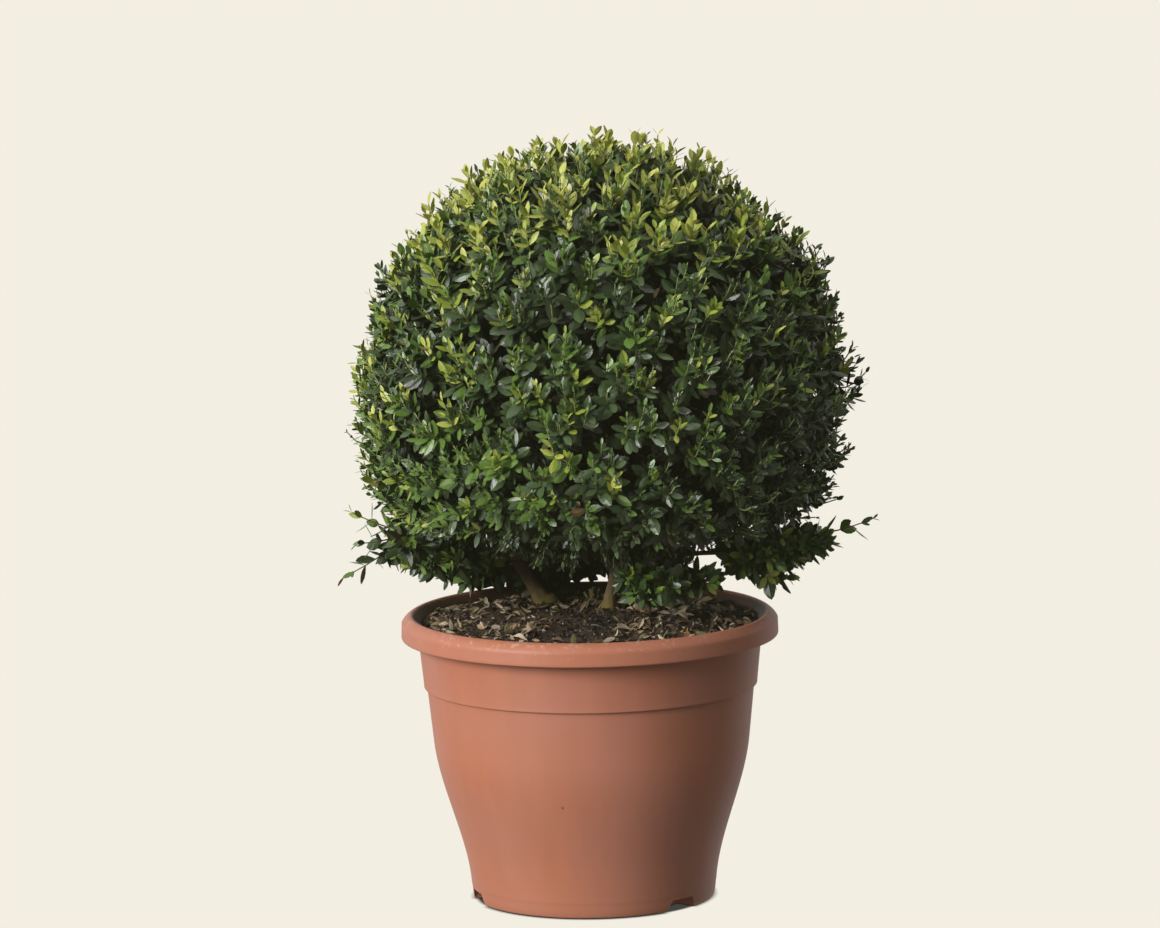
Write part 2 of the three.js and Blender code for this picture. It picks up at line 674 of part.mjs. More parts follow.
// A stem from the bough's tip, with its side twigs and stray shoots, clear of what is there already.
function makeLooseMass(mass, taken) {
  const random = randomSource(mass.seed);
  const bough = boughCurve(BOUGHS.find((candidate) => candidate.name === mass.bough));
  const start = bough.getPoint(1).addScaledVector(bough.getTangent(1), GAP);
  const end = placeAbout(mass.end);
  const onward = bough.getTangent(1).multiplyScalar(LOOSE_TWIG.onward * start.distanceTo(end));
  const stem = new THREE.QuadraticBezierCurve3(start, start.clone().add(onward), end);
  const twigs = sideTwigs(mass, stem, random).filter((curve) => isInLooseSpace(curve.v2));
  const strayRoot = stem.getPoint(LOOSE_TWIG.strayFrom);
  const strays = mass.strays.map((spot) => saggingCurve(strayRoot, placeAbout(spot)));
  const solids = [
    ...leafyTwig(stem, LOOSE_TWIG.stemR, 2, random),
    ...twigs.flatMap((curve) => leafyTwig(curve, LOOSE_TWIG.sideR, 2, random)),
    ...strays.flatMap((curve) => leafyTwig(curve, LOOSE_TWIG.strayR, 4, random)),
  ];
  return largestBody(join(solids.filter((solid) => isClearOf(solid, taken))));
}

// ---------------------------------------------------------------- the assembly

function addPiece(group, name, solid, finish) {
  const material = new THREE.MeshStandardMaterial({
    color: finish.colour,
    roughness: finish.roughness,
    metalness: 0,
  });
  const mesh = new THREE.Mesh(toGeometry(solid), material);
  mesh.name = name;
  group.add(mesh);
}

function makePlant() {
  const plant = new THREE.Group();
  const pot = makePot();
  const soil = makeSoil();
  addPiece(plant, "pot", pot, COLOURS.pot);
  addPiece(plant, "soil", soil, COLOURS.soil);
  const { limbs, grown } = makeLimbs();
  limbs.forEach((limb) => addPiece(plant, limb.name, limb.solid, COLOURS.bark));
  const stubs = makeCutStubs();
  addPiece(plant, "cut_stubs", stubs, COLOURS.bark);
  const core = makeCore();
  const taken = [pot, soil, stubs, ...limbs.map((limb) => limb.solid), core];
  const looseMasses = LOOSE_MASSES.map((mass) => {
    const solid = makeLooseMass(mass, taken);
    taken.push(solid);
    addPiece(plant, mass.name, solid, COLOURS.loose);
    return solid;
  });
  addPiece(plant, "crown", makeCrown(core, [...grown, stubs, ...looseMasses]), COLOURS.crown);
  return plant;
}

const plant = makePlant();

export default plant;
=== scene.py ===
"""The looks of a potted box topiary ball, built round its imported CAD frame.

Lengths are millimetres in the settings and in the shape functions, and metres in the meshes.
The front of the plant is towards -Y, and azimuths are degrees about +Z from +X.
"""

import math

import bpy
import numpy as np
from bpy.props import FloatProperty, FloatVectorProperty, IntProperty, PointerProperty
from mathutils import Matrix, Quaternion, Vector


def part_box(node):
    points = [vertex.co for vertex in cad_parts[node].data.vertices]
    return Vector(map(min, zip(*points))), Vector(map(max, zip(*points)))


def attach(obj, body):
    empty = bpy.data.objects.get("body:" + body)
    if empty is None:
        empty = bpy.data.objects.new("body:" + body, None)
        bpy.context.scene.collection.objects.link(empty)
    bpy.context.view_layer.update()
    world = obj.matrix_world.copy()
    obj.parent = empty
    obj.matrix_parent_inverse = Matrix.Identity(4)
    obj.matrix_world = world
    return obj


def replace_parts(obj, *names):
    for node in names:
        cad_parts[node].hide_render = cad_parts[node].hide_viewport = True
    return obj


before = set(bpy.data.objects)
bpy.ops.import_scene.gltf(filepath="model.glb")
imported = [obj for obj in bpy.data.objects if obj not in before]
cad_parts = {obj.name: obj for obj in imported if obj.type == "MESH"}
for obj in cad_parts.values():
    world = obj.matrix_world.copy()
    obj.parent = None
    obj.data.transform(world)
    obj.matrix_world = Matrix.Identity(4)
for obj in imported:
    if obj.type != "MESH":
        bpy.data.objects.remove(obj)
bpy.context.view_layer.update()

bl_info = {
    "name": "Potted Box Ball",
    "version": (1, 0, 0),
    "blender": (4, 5, 0),
    "location": "View3D > Sidebar > Box Ball",
    "description": "A clipped ball of box in a moulded plant pot, grown leaf by leaf",
    "category": "Add Mesh",
}

MM = 0.001
BODY = "root"
UP = np.array([0.0, 0.0, 1.0])
GOLDEN_ANGLE = math.pi * (3 - math.sqrt(5))


def frame_mm(node):
    """Lowest and highest corner of a CAD node, in millimetres."""
    low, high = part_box(node)
    return np.array(low) / MM, np.array(high) / MM


POT_TOP = float(frame_mm("pot")[1][2])
LIP_RADIUS = float(frame_mm("pot")[1][0])
SOIL_TOP = float(frame_mm("soil")[1][2])
SOIL_RADIUS = float(frame_mm("soil")[1][0])


# ------------------------------------------------------------------ settings


def linear(hex_colour):
    """An sRGB hex colour as linear red, green and blue."""
    levels = [int(hex_colour[place:place + 2], 16) / 255 for place in (1, 3, 5)]
    return tuple(c / 12.92 if c <= 0.04045 else ((c + 0.055) / 1.055) ** 2.4 for c in levels)


def size(name, default, description):
    """A length property in millimetres."""
    return FloatProperty(name=name, default=default, description=description, min=0.0)


def colour(name, hex_colour, description):
    """A colour property that starts from an sRGB hex value."""
    return FloatVectorProperty(
        name=name, default=linear(hex_colour), description=description,
        subtype="COLOR", size=3, min=0.0, max=1.0,
    )


class BOXBALL_PG_pot(bpy.types.PropertyGroup):
    """Sizes in millimetres and colours of the pot"""

    foot_radius: size("Foot radius", 121.4, "Outer radius at the ground")
    belly_step: size("Belly", 20.2, "How much wider the belly is than an even cone")
    slope: size("Slope", 0.1036, "Even widening of the wall with its height")
    ledge_z: size("Ledge", 215.0, "Height of the small step under the collar")
    ledge_width: size("Ledge width", 3.1, "How far the step stands out")
    collar_radius: size("Collar radius", 171.6, "Outer radius under the lip")
    lip_z: size("Lip underside", 264.4, "Height of the lip's underside")
    shoulder_z: size("Lip shoulder", 279.7, "Height of the crease above the lip's upright face")
    crest_radius: size("Crest radius", 179.8, "Radius of the lip's top")
    mouth_radius: size("Mouth radius", 176.5, "Radius of the mouth's edge")
    wall: size("Wall", 3.0, "Thickness of the wall")
    plastic: colour("Plastic", "#C37A5C", "The moulded plastic")
    scuffed: colour("Scuffed plastic", "#DDBBA8", "Plastic that is rubbed pale")
    # the faded colour is partly weathering, partly a painted pale sheen
    faded_and_sheen: colour("Faded plastic", "#C68876", "Plastic that has weathered pinker")
    # the grime colour fills the nick and darkens the pot towards the ground
    grime: colour("Grime", "#6E4636", "Dust and damp on the plastic")
    # the soil stain colour also paints shade on the inside of the mouth, under the ball
    stain_and_shade: colour("Soil stain", "#54443A", "Dried soil on the inside of the mouth")


class BOXBALL_PG_soil(bpy.types.PropertyGroup):
    """The soil and what lies on it"""

    edge_z: size("Level at the wall", 278.0, "Level of the soil at the pot's wall")
    mound_radius: size("Mound radius", 92.0, "Radius of the mound's top")
    crumbs: IntProperty(name="Crumbs", default=11000, description="Number of soil crumbs")
    dry_leaves: IntProperty(name="Dry leaves", default=950, description="Number of fallen leaves")
    chips: IntProperty(name="Chips", default=1500, description="Number of bark and twig chips")
    peat: colour("Peat", "#38291E", "Moist dark peat")
    dry_peat: colour("Dry peat", "#645241", "Peat that has dried on top")


class BOXBALL_PG_crown(bpy.types.PropertyGroup):
    """The clipped ball"""

    radius: size("Radius", 255.0, "From the centre to the tips of the leaves")
    lowest_z: size("Underside", 340.0, "Level that nothing in the ball hangs below")
    boughs: IntProperty(name="Boughs", default=46, description="Boughs inside the ball")
    branches: IntProperty(name="Branches", default=360, description="Branches that carry the shoots")
    shoots: IntProperty(name="Shoots", default=2200, description="Shoots that reach the outline")
    inner_shoots: IntProperty(name="Inner shoots", default=1100, description="Shoots under the outer ones")
    deep_shoots: IntProperty(name="Deep shoots", default=760, description="Shoots far inside")
    pull: FloatProperty(name="Clumping", default=0.3, min=0.0, max=1.0,
                        description="How far shoots gather round their branch")
    leaf_length: size("Leaf length", 22.5, "Length of a grown leaf")
    leaf_width: size("Leaf width", 9.8, "Width of a grown leaf")


class BOXBALL_PG_leaves(bpy.types.PropertyGroup):
    """Colours of the foliage and bark"""

    # The shade tint is the dull colour of old leaves, made paler as painted light that lifts the ball's
    # dark depths.
    shade: colour("Shade leaf", "#423D26", "Old leaves deep in the ball")
    dark: colour("Dark leaf", "#3B452C", "Last year's leaves")
    deep: colour("Deep green leaf", "#4B5E38", "Grown leaves, slightly blue")
    middle: colour("Green leaf", "#668437", "This year's grown leaves")
    fresh: colour("Fresh leaf", "#96A53C", "Leaves that have just spread")
    young: colour("Young leaf", "#BDC15A", "Leaves still opening at the tips")
    dry: colour("Dry leaf", "#A28560", "Dead leaves")
    green_twig: colour("Green twig", "#8F9A58", "Bark of this year's shoots")
    bark: colour("Bark", "#7C684E", "Grey-brown bark of the boughs and twigs")
    # The stems' bark is paler than the boughs': partly the stems' own paler bark, partly painted light
    # that lifts the stems shaded by the ball and the low foliage.
    stem_bark: colour("Stem bark", "#8C7355", "Paler bark of the stems")
    moss: colour("Moss", "#8A7A35", "Moss and algae at the foot")


class BOXBALL_PG_stage(bpy.types.PropertyGroup):
    """Studio light, floor and camera"""

    paper: colour("Paper", "#F2EDE1", "The pale floor and backdrop")
    key: FloatProperty(name="Key light", default=3.05, description="Strength of the main light")
    top: FloatProperty(name="Top light", default=0.7, description="Strength of the light from above")
    back: FloatProperty(name="Back light", default=1.1, description="Strength of the light from behind")
    fill: FloatProperty(name="Fill light", default=0.13, description="Strength of the light all round")
    lens: FloatProperty(name="Lens", default=220.4, description="Focal length in millimetres")


# ------------------------------------------------------------------ meshes


def put_piece(name, points, faces, materials, chosen=None, sharp=None, rounded=True):
    """Puts points in millimetres and faces into a mesh object that rides on the plant's body.

    faces is a list of arrays, and each row of an array is the corners of one face. chosen is the
    number of each face's material, in the same order, sharp is the angle of a hard edge, and
    rounded shades the faces as one smooth surface.
    """
    mesh = bpy.data.meshes.new(name)
    mesh.vertices.add(len(points))
    mesh.vertices.foreach_set("co", (np.asarray(points, float) * MM).astype(np.float32).ravel())
    corners = np.concatenate([np.asarray(part).ravel() for part in faces]).astype(np.int32)
    counts = np.concatenate([np.full(len(part), part.shape[1]) for part in faces]).astype(np.int32)
    mesh.loops.add(len(corners))
    mesh.loops.foreach_set("vertex_index", corners)
    mesh.polygons.add(len(counts))
    mesh.polygons.foreach_set("loop_start", np.concatenate([[0], np.cumsum(counts)[:-1]]).astype(np.int32))
    mesh.polygons.foreach_set("use_smooth", np.full(len(counts), rounded))
    for material in materials:
        mesh.materials.append(material)
    if chosen is not None:
        mesh.polygons.foreach_set("material_index", np.asarray(chosen, np.int32))
    mesh.update(calc_edges=True)
    if mesh.validate():
        raise RuntimeError(f"{name} has faces that don't hold together")
    if sharp is not None:
        mesh.set_sharp_from_angle(angle=math.radians(sharp))
    piece = bpy.data.objects.new(name, mesh)
    bpy.context.scene.collection.objects.link(piece)
    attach(piece, BODY)
    return piece


def grid_faces(rows, columns):
    """Four-sided faces between the rows of a grid whose columns close on themselves."""
    row, column = np.meshgrid(np.arange(rows - 1), np.arange(columns), indexing="ij")
    ahead = (column + 1) % columns
    faces = [row * columns + column, row * columns + ahead,
             (row + 1) * columns + ahead, (row + 1) * columns + column]
    return np.stack(faces, -1).reshape(-1, 4)


def shell_faces(rows, columns, turned=False):
    """Faces of a grid of rings, and discs that close it on the two points after the grid."""
    ring, last, hub = np.arange(columns), (rows - 1) * columns, np.full(columns, rows * columns)
    ahead = np.roll(ring, -1)
    faces = [grid_faces(rows, columns), np.stack([ahead, ring, hub], -1),
             np.stack([hub + 1, ring + last, ahead + last], -1)]
    return [part[:, ::-1] for part in faces] if turned else faces


def unit(vectors):
    """Vectors at length one."""
    return vectors / np.maximum(np.linalg.norm(vectors, axis=-1, keepdims=True), 1e-12)


def direction(azimuth, elevation=0.0):
    """Unit vectors from azimuth and elevation in degrees."""
    azimuth, elevation = np.broadcast_arrays(np.radians(azimuth), np.radians(elevation))
    level = np.cos(elevation)
    return np.stack([level * np.cos(azimuth), level * np.sin(azimuth), np.sin(elevation)], -1)


def smooth(low, high, value):
    """0 up to low, 1 from high on, and 3t^2 - 2t^3 between. Low may be the higher of the two."""
    t = np.clip((np.asarray(value, float) - low) / (high - low), 0, 1)
    return t * t * (3 - 2 * t)


LATTICE = 32  # cells of the noise's lattice on each axis, before it repeats


def cloud(points, scale, seed):
    """Smooth seeded noise from -1 to 1: random values on a lattice of that scale, blended.

    The eight values round a point are weighed by 3t^2 - 2t^3 along each axis.
    """
    table = np.random.default_rng(seed).uniform(-1, 1, (LATTICE,) * 3)
    place = np.asarray(points, float) / scale
    cell = np.floor(place).astype(int)
    share = place - cell
    share = share * share * (3 - 2 * share)
    total = np.zeros(place.shape[:-1])
    for corner in np.ndindex(2, 2, 2):
        index = tuple(((cell + corner) % LATTICE)[..., axis] for axis in range(3))
        weight = np.where(np.array(corner) == 1, share, 1 - share).prod(-1)
        total += weight * table[index]
    return total


def clouds(points, layers):
    """Layers of smooth noise added up, each with its height, width and seed."""
    return sum(height * cloud(points, width, seed) for height, width, seed in layers)


def evenly(count):
    """Directions spread evenly over a ball, each turned on from the last by the golden angle."""
    place = np.arange(count) + 0.5
    rise = 1 - 2 * place / count
    level = np.sqrt(1 - rise ** 2)
    turn = place * GOLDEN_ANGLE
    return np.stack([level * np.cos(turn), level * np.sin(turn), rise], -1)


def bent_lines(starts, bends, ends, steps):
    """Points on quadratic curves, (1-t)^2 start + 2t(1-t) bend + t^2 end, one curve a row."""
    t = np.linspace(0, 1, steps + 1)[None, :, None]
    starts, bends, ends = (np.asarray(p, float)[:, None, :] for p in (starts, bends, ends))
    return (1 - t) ** 2 * starts + 2 * t * (1 - t) * bends + t ** 2 * ends


def across_axes(axes):
    """Two unit vectors square to each axis."""
    helper = np.where(np.abs(axes[..., 2:3]) > 0.9, [1.0, 0.0, 0.0], UP)
    first = unit(np.cross(helper, axes))
    return first, np.cross(axes, first)


def tubes(lines, radii, sides):
    """Closed tubes along many lines at once, with a radius for each point of a line.

    A ring's points are centre + radius (cos a, sin a) in the plane square to the line.
    """
    count, rings, _ = lines.shape
    first, second = across_axes(unit(np.gradient(lines, axis=1)))
    turn = np.arange(sides) * 2 * math.pi / sides
    circle = first[..., None, :] * np.cos(turn)[:, None] + second[..., None, :] * np.sin(turn)[:, None]
    points = lines[..., None, :] + np.broadcast_to(radii, (count, rings))[..., None, None] * circle
    strip = grid_faces(rings, sides)
    caps = np.stack([np.arange(sides)[::-1], np.arange(sides) + (rings - 1) * sides])
    each = (np.arange(count) * rings * sides)[:, None, None]
    return points.reshape(-1, 3), (strip + each).reshape(-1, 4), (caps + each).reshape(-1, sides)


def tube_piece(name, lines, radii, sides, material):
    """A piece made of many twigs or branches."""
    points, strips, caps = tubes(lines, radii, sides)
    return put_piece(name, points, [strips, caps], [material])


# ------------------------------------------------------------------ materials


def add_node(tree, kind, settings=None, out=None, **links):
    """Adds a node with its settings and links, and returns one of its outputs.

    A setting is a property of the node, or an input by name or number. A link is an input by name,
    with _ for a space, or in and its number. The output is the one named, or the first in use.
    """
    node = tree.nodes.new("ShaderNode" + kind)
    for key, value in (settings or {}).items():
        if isinstance(key, str) and hasattr(node, key):
            setattr(node, key, value)
        else:
            node.inputs[key].default_value = value
    for key, socket in links.items():
        number = key.removeprefix("in")
        label = int(number) if number.isdigit() else key.replace("_", " ")
        tree.links.new(socket, node.inputs[label])
    return node.outputs[out] if out else next(each for each in node.outputs if each.enabled)


def new_material(name):
    """A new material, its node tree, and its plain principled surface."""
    material = bpy.data.materials.new(name)
    material.use_nodes = True
    return material, material.node_tree, material.node_tree.nodes["Principled BSDF"]


def made_once(name, make, *settings):
    """The material of that name, made when it is first asked for."""
    return bpy.data.materials.get(name) or make(name, *settings)


def plain_material(name, base, roughness):
    """A small thing of one colour and one roughness."""
    material, _, surface = new_material(name)
    surface.inputs["Base Color"].default_value = (*base, 1)
    surface.inputs["Roughness"].default_value = roughness
    return material


def leaf_material(name, base, roughness):
    """A box leaf's waxy skin: plain colour, with the soft gloss of a cuticle."""
    material, _, surface = new_material(name)
    surface.inputs["Base Color"].default_value = (*base, 1)
    surface.inputs["Roughness"].default_value = roughness
    surface.inputs["IOR"].default_value = 1.6
    return material


# Middle of a small dark nick in the front of the belly, and the radii between which it fades.
NICK = {"middle": (-30, -147, 117), "fades": (0.8, 2.2)}


def pot_material(name, settings):
    """Moulded polypropylene: satin, slightly uneven colour, pinker patches that are partly weathering and
    partly painted sheen, rubbed pale on the lip, darker low down, with soil stain and painted shade inside
    the mouth.
    """
    material, tree, surface = new_material(name)
    where = add_node(tree, "TexCoord", out="Object")
    height = add_node(tree, "SeparateXYZ", out="Z", Vector=where)
    # flow streaks about 25 mm wide, drawn out along the wall
    streaks = add_node(tree, "Mapping", {"Scale": (1, 1, 0.18)}, Vector=where)
    tone = add_node(tree, "TexNoise", {"Scale": 1 / (25 * MM), "Detail": 3, "Roughness": 0.55},
                    Vector=streaks)
    dark, pale = ((*[c * share for c in settings.plastic], 1) for share in (0.9, 1.1))
    base = add_node(tree, "Mix", {"data_type": "RGBA", 6: dark, 7: pale}, in0=tone)
    # pinker patches a hand wide: partly weathering, partly a painted pale sheen
    patches = add_node(tree, "TexNoise", {"Scale": 1 / (111 * MM), "Detail": 1}, Vector=where)
    faded_and_sheen = add_node(tree, "MapRange", {"From Min": 0.35, "From Max": 0.65, "To Max": 0.4},
                     Value=patches)
    # scuffs about 6 mm long, more of them up the lip
    scuff = add_node(tree, "TexNoise", {"Scale": 1 / (5.88 * MM), "Detail": 6, "Roughness": 0.7},
                     Vector=where)
    lip = add_node(tree, "MapRange", {
        "From Min": (POT_TOP - 24) * MM, "From Max": POT_TOP * MM, "To Min": 0.0, "To Max": 0.13,
    }, Value=height)
    marks = add_node(tree, "Math", {"operation": "ADD"}, in0=scuff, in1=lip)
    rubbed = add_node(tree, "MapRange", {"From Min": 0.66, "From Max": 0.84, "To Max": 0.75},
                      Value=marks)
    # dried soil stain and painted shade inside the mouth, from a radius that the scuffs make uneven
    level = add_node(tree, "VectorMath", {"operation": "MULTIPLY", 1: (1, 1, 0)}, in0=where)
    radius = add_node(tree, "VectorMath", {"operation": "LENGTH"}, in0=level)
    uneven = add_node(tree, "Math", {"operation": "MULTIPLY_ADD", 1: 4 * MM}, in0=scuff,
                      in2=radius)
    inside = add_node(tree, "MapRange", {
        "From Min": (settings.mouth_radius + 0.5) * MM, "From Max": (settings.mouth_radius + 3) * MM,
        "To Min": 0.85, "To Max": 0.0,
    }, Value=uneven)
    above = add_node(tree, "Math", {"operation": "GREATER_THAN", 1: settings.lip_z * MM},
                     in0=height)
    mouth_stain_and_shade = add_node(tree, "Math", {"operation": "MULTIPLY"}, in0=inside, in1=above)
    nick = add_node(tree, "VectorMath", {
        "operation": "DISTANCE", 1: [c * MM for c in NICK["middle"]],
    }, in0=where)
    nicked = add_node(tree, "MapRange", {
        "From Min": NICK["fades"][0] * MM, "From Max": NICK["fades"][1] * MM,
        "To Min": 0.8, "To Max": 0.0,
    }, Value=nick)
    # darker towards the ground, fading to nothing 45 mm above it
    low = add_node(tree, "MapRange", {
        "From Min": 0.0, "From Max": 45 * MM, "To Min": 0.3, "To Max": 0.0,
    }, Value=height)
    darker_low = add_node(tree, "Math", {"operation": "MULTIPLY"}, in0=low, in1=tone)
    # coats in turn: pinker patches with painted sheen, scuffs, soil stain with painted shade in the mouth,
    # the nick, and darker low down
    for share, coat in ((faded_and_sheen, settings.faded_and_sheen), (rubbed, settings.scuffed), (mouth_stain_and_shade, settings.stain_and_shade),
                        (nicked, settings.grime), (darker_low, settings.grime)):
        base = add_node(tree, "Mix", {"data_type": "RGBA", 7: (*coat, 1)}, in0=share, in6=base)
    tree.links.new(base, surface.inputs["Base Color"])
    rough = add_node(tree, "MapRange", {"To Min": 0.42, "To Max": 0.58}, Value=scuff)
    tree.links.new(rough, surface.inputs["Roughness"])
    # the faint orange peel of a mould, about 1.5 mm across
    peel = add_node(tree, "TexNoise", {"Scale": 1 / (1.54 * MM), "Detail": 2}, Vector=where)
    bump = add_node(tree, "Bump", {"Strength": 0.12, "Distance": 0.2 * MM}, Height=peel)
    tree.links.new(bump, surface.inputs["Normal"])
    return material


def soil_material(name, settings):
    """Peat-based potting soil: matt, dark where moist and browner where it has dried."""
    material, tree, surface = new_material(name)
    where = add_node(tree, "TexCoord", out="Object")
    # fibres and grains of about 2.4 mm, in patches 36 mm wide
    fibre = add_node(tree, "TexNoise", {"Scale": 1 / (2.38 * MM), "Detail": 8, "Roughness": 0.75},
                     Vector=where)
    patch = add_node(tree, "TexNoise", {"Scale": 1 / (35.7 * MM), "Detail": 2}, Vector=where)
    mixed = add_node(tree, "Math", {"operation": "MULTIPLY"}, in0=fibre, in1=patch)
    dry = add_node(tree, "MapRange", {"From Min": 0.18, "From Max": 0.42}, Value=mixed)
    base = add_node(tree, "Mix", {
        "data_type": "RGBA", 6: (*settings.peat, 1), 7: (*settings.dry_peat, 1),
    }, in0=dry)
    tree.links.new(base, surface.inputs["Base Color"])
    surface.inputs["Roughness"].default_value = 0.95
    bump = add_node(tree, "Bump", {"Strength": 0.8, "Distance": 1.2 * MM}, Height=fibre)
    tree.links.new(bump, surface.inputs["Normal"])
    return material


def bark_material(name, settings, shade):
    """Box bark: grey-brown, finely furrowed along the stem, with moss near the soil."""
    material, tree, surface = new_material(name)
    where = add_node(tree, "TexCoord", out="Object")
    height = add_node(tree, "SeparateXYZ", out="Z", Vector=where)
    # furrows about 2 mm apart, drawn out upwards
    drawn = add_node(tree, "Mapping", {"Scale": (1, 1, 0.3)}, Vector=where)
    furrow = add_node(tree, "TexNoise", {"Scale": 1 / (2.08 * MM), "Detail": 5, "Roughness": 0.7},
                      Vector=drawn)
    dark, pale = ((*[c * share for c in shade], 1) for share in (0.42, 1.25))
    wood = add_node(tree, "Mix", {"data_type": "RGBA", 6: dark, 7: pale}, in0=furrow)
    # moss in tufts 6 mm wide, thinning out over 34 mm above the soil
    low = add_node(tree, "MapRange", {
        "From Min": SOIL_TOP * MM, "From Max": (SOIL_TOP + 34) * MM, "To Min": 1.0, "To Max": 0.0,
    }, Value=height)
    tufts = add_node(tree, "TexNoise", {"Scale": 1 / (6.25 * MM), "Detail": 4}, Vector=where)
    moss = add_node(tree, "Math", {"operation": "MULTIPLY"}, in0=low, in1=tufts)
    share = add_node(tree, "MapRange", {"From Min": 0.2, "From Max": 0.5, "To Max": 0.85},
                     Value=moss)
    base = add_node(tree, "Mix", {"data_type": "RGBA", 7: (*settings.moss, 1)}, in0=share,
                    in6=wood)
    tree.links.new(base, surface.inputs["Base Color"])
    surface.inputs["Roughness"].default_value = 0.88
    bump = add_node(tree, "Bump", {"Strength": 0.7, "Distance": 0.8 * MM}, Height=furrow)
    tree.links.new(bump, surface.inputs["Normal"])
    return material


# ------------------------------------------------------------------ pot


# Drain notches in the foot: the azimuth of the first, half-widths at the ground and at the roof,
# height and depth. Nearer the axis than steady, a notch's edges keep their angles.
NOTCHES = {
    "count": 3, "first": -44.0, "low": 20.0, "high": 14.0, "height": 11.5, "depth": 24.0, "steady": 100.0,
}
BELLY = (19, 160)  # levels between which the wall swells to its belly
ROUNDED = {"foot": 2.0, "ledge": 1.0, "collar": 1.5, "lip": 1.6}  # radii of the rounded edges
FOOT_SETBACK = 0.2  # how far the ring under the crease at the notches' roof is set back
FLOOR_Z = 17.5
AXIS_GAP = 0.05  # radius of the innermost rings, which close on a point of the axis


def wall_radius(pot, z):
    """The wall: an even slope and a smooth step for the belly."""
    return pot.foot_radius + pot.slope * np.asarray(z) + pot.belly_step * smooth(*BELLY, z)


def arc(centre_r, centre_z, radius, start, stop, count):
    """Points on an arc of a profile, between two angles in degrees."""
    angle = np.radians(np.linspace(start, stop, count))
    return np.stack([centre_r + radius * np.cos(angle), centre_z + radius * np.sin(angle)], -1)


def foot_profile(pot, notched):
    """Underside and lowest wall. Both versions have the same points, and the notched one has its
    outer points lifted to the notch's roof."""
    inner = pot.foot_radius - NOTCHES["depth"]
    roof = NOTCHES["height"] if notched else 0.0
    rounded = ROUNDED["foot"]
    edge_r = pot.foot_radius - 2.4  # centre of the foot's rounded edge
    under = [[AXIS_GAP, 0], [40, 0], [80, 0], [inner - 0.3, 0], [inner, roof]]
    under += [[r, roof] for r in np.linspace(inner + 2, edge_r, 5)]
    edge = arc(edge_r, rounded, rounded, -70, 0, 4)
    levels = np.linspace(4.5, NOTCHES["height"] - 0.2, 5)
    low = np.concatenate([edge, np.stack([wall_radius(pot, levels) - FOOT_SETBACK, levels], -1)])
    if notched:
        rim = wall_radius(pot, NOTCHES["height"])
        low = np.stack([np.linspace(pot.foot_radius - 2, rim, len(low)), np.full(len(low), roof)], -1)
    return np.concatenate([under, low])


def upper_profile(pot):
    """The rest of the wall, the ledge, collar, lip, mouth and inside, down to the pot's floor.

    The collar widens evenly. The lip's shoulder is a quadratic curve from the crease above its
    upright face to the crest.
    """
    step, fillet, rounded = ROUNDED["ledge"], ROUNDED["collar"], ROUNDED["lip"]
    low = np.linspace(NOTCHES["height"] + 0.4, 22, 8)
    levels = np.concatenate([low, np.linspace(25, pot.ledge_z - 0.8, 46)])
    setback = FOOT_SETBACK * (1 - smooth(13.5, 15, levels))
    wall = np.stack([wall_radius(pot, levels) - setback, levels], -1)
    ledge_r = float(wall_radius(pot, pot.ledge_z))
    out_r = ledge_r + pot.ledge_width
    ledge_edge = arc(out_r - step, pot.ledge_z + step, step, -80, 0, 5)
    ledge = np.concatenate([[[ledge_r + 0.1, pot.ledge_z]], ledge_edge])
    rise = np.linspace(pot.ledge_z + 3, pot.lip_z - fillet, 12)
    share = (rise - rise[0]) / (rise[-1] - rise[0])
    collar = np.stack([out_r + (pot.collar_radius - out_r) * share, rise], -1)
    under_lip = arc(pot.collar_radius + fillet, pot.lip_z - fillet, fillet, 180, 90, 4)
    lip_edge = arc(LIP_RADIUS - rounded, pot.lip_z + rounded, rounded, -90, 0, 6)
    face = np.linspace([LIP_RADIUS, pot.lip_z + 3], [LIP_RADIUS - 0.4, pot.shoulder_z], 5)
    t = np.linspace(0.06, 1, 10)[:, None]
    swell = np.array([LIP_RADIUS - 3.5, POT_TOP - 2.4])
    crest = np.array([pot.crest_radius, POT_TOP])
    shoulder = (1 - t) ** 2 * face[-1] + 2 * t * (1 - t) * swell + t ** 2 * crest
    inner_r = pot.collar_radius - pot.wall
    mouth = [[pot.crest_radius - 1.6, POT_TOP - 0.1], [pot.mouth_radius + 0.5, POT_TOP - 0.6],
             [pot.mouth_radius, POT_TOP - 1.4], [inner_r + 1.4, POT_TOP - 6.4], [inner_r, POT_TOP - 8.4]]
    depths = np.linspace(pot.lip_z, 22, 40)
    inside = np.stack([np.minimum(wall_radius(pot, depths), pot.collar_radius) - pot.wall, depths], -1)
    floor = [[100, FLOOR_Z + 0.5], [50, FLOOR_Z], [AXIS_GAP, FLOOR_Z]]
    return np.concatenate([wall, ledge, collar, under_lip, lip_edge, face, shoulder, mouth, inside, floor])


def notch_angles(levels, radii):
    """Angle of each column at each point of the profile, and which columns are inside a notch.

    A notch's edge is half-width / radius from its middle, narrower towards its roof. Columns
    are spread evenly between the edges, with a hair's breadth at each edge.
    """
    up = np.clip(levels / NOTCHES["height"], 0, 1)
    half = NOTCHES["low"] + (NOTCHES["high"] - NOTCHES["low"]) * up
    edge = np.degrees(half / np.maximum(radii, NOTCHES["steady"]))
    hair = 0.12
    step = 360 / NOTCHES["count"]
    within, beyond = np.linspace(-1, 1, 10), np.linspace(0, 1, 58)
    angles, inside = [], []
    for notch in range(NOTCHES["count"]):
        middle = NOTCHES["first"] + notch * step
        angles.append(middle + edge[:, None] * within)
        start, stop = edge + hair, step - edge - hair
        angles.append(middle + start[:, None] + (stop - start)[:, None] * beyond)
        inside += [True] * len(within) + [False] * len(beyond)
    return np.concatenate(angles, 1), np.array(inside)


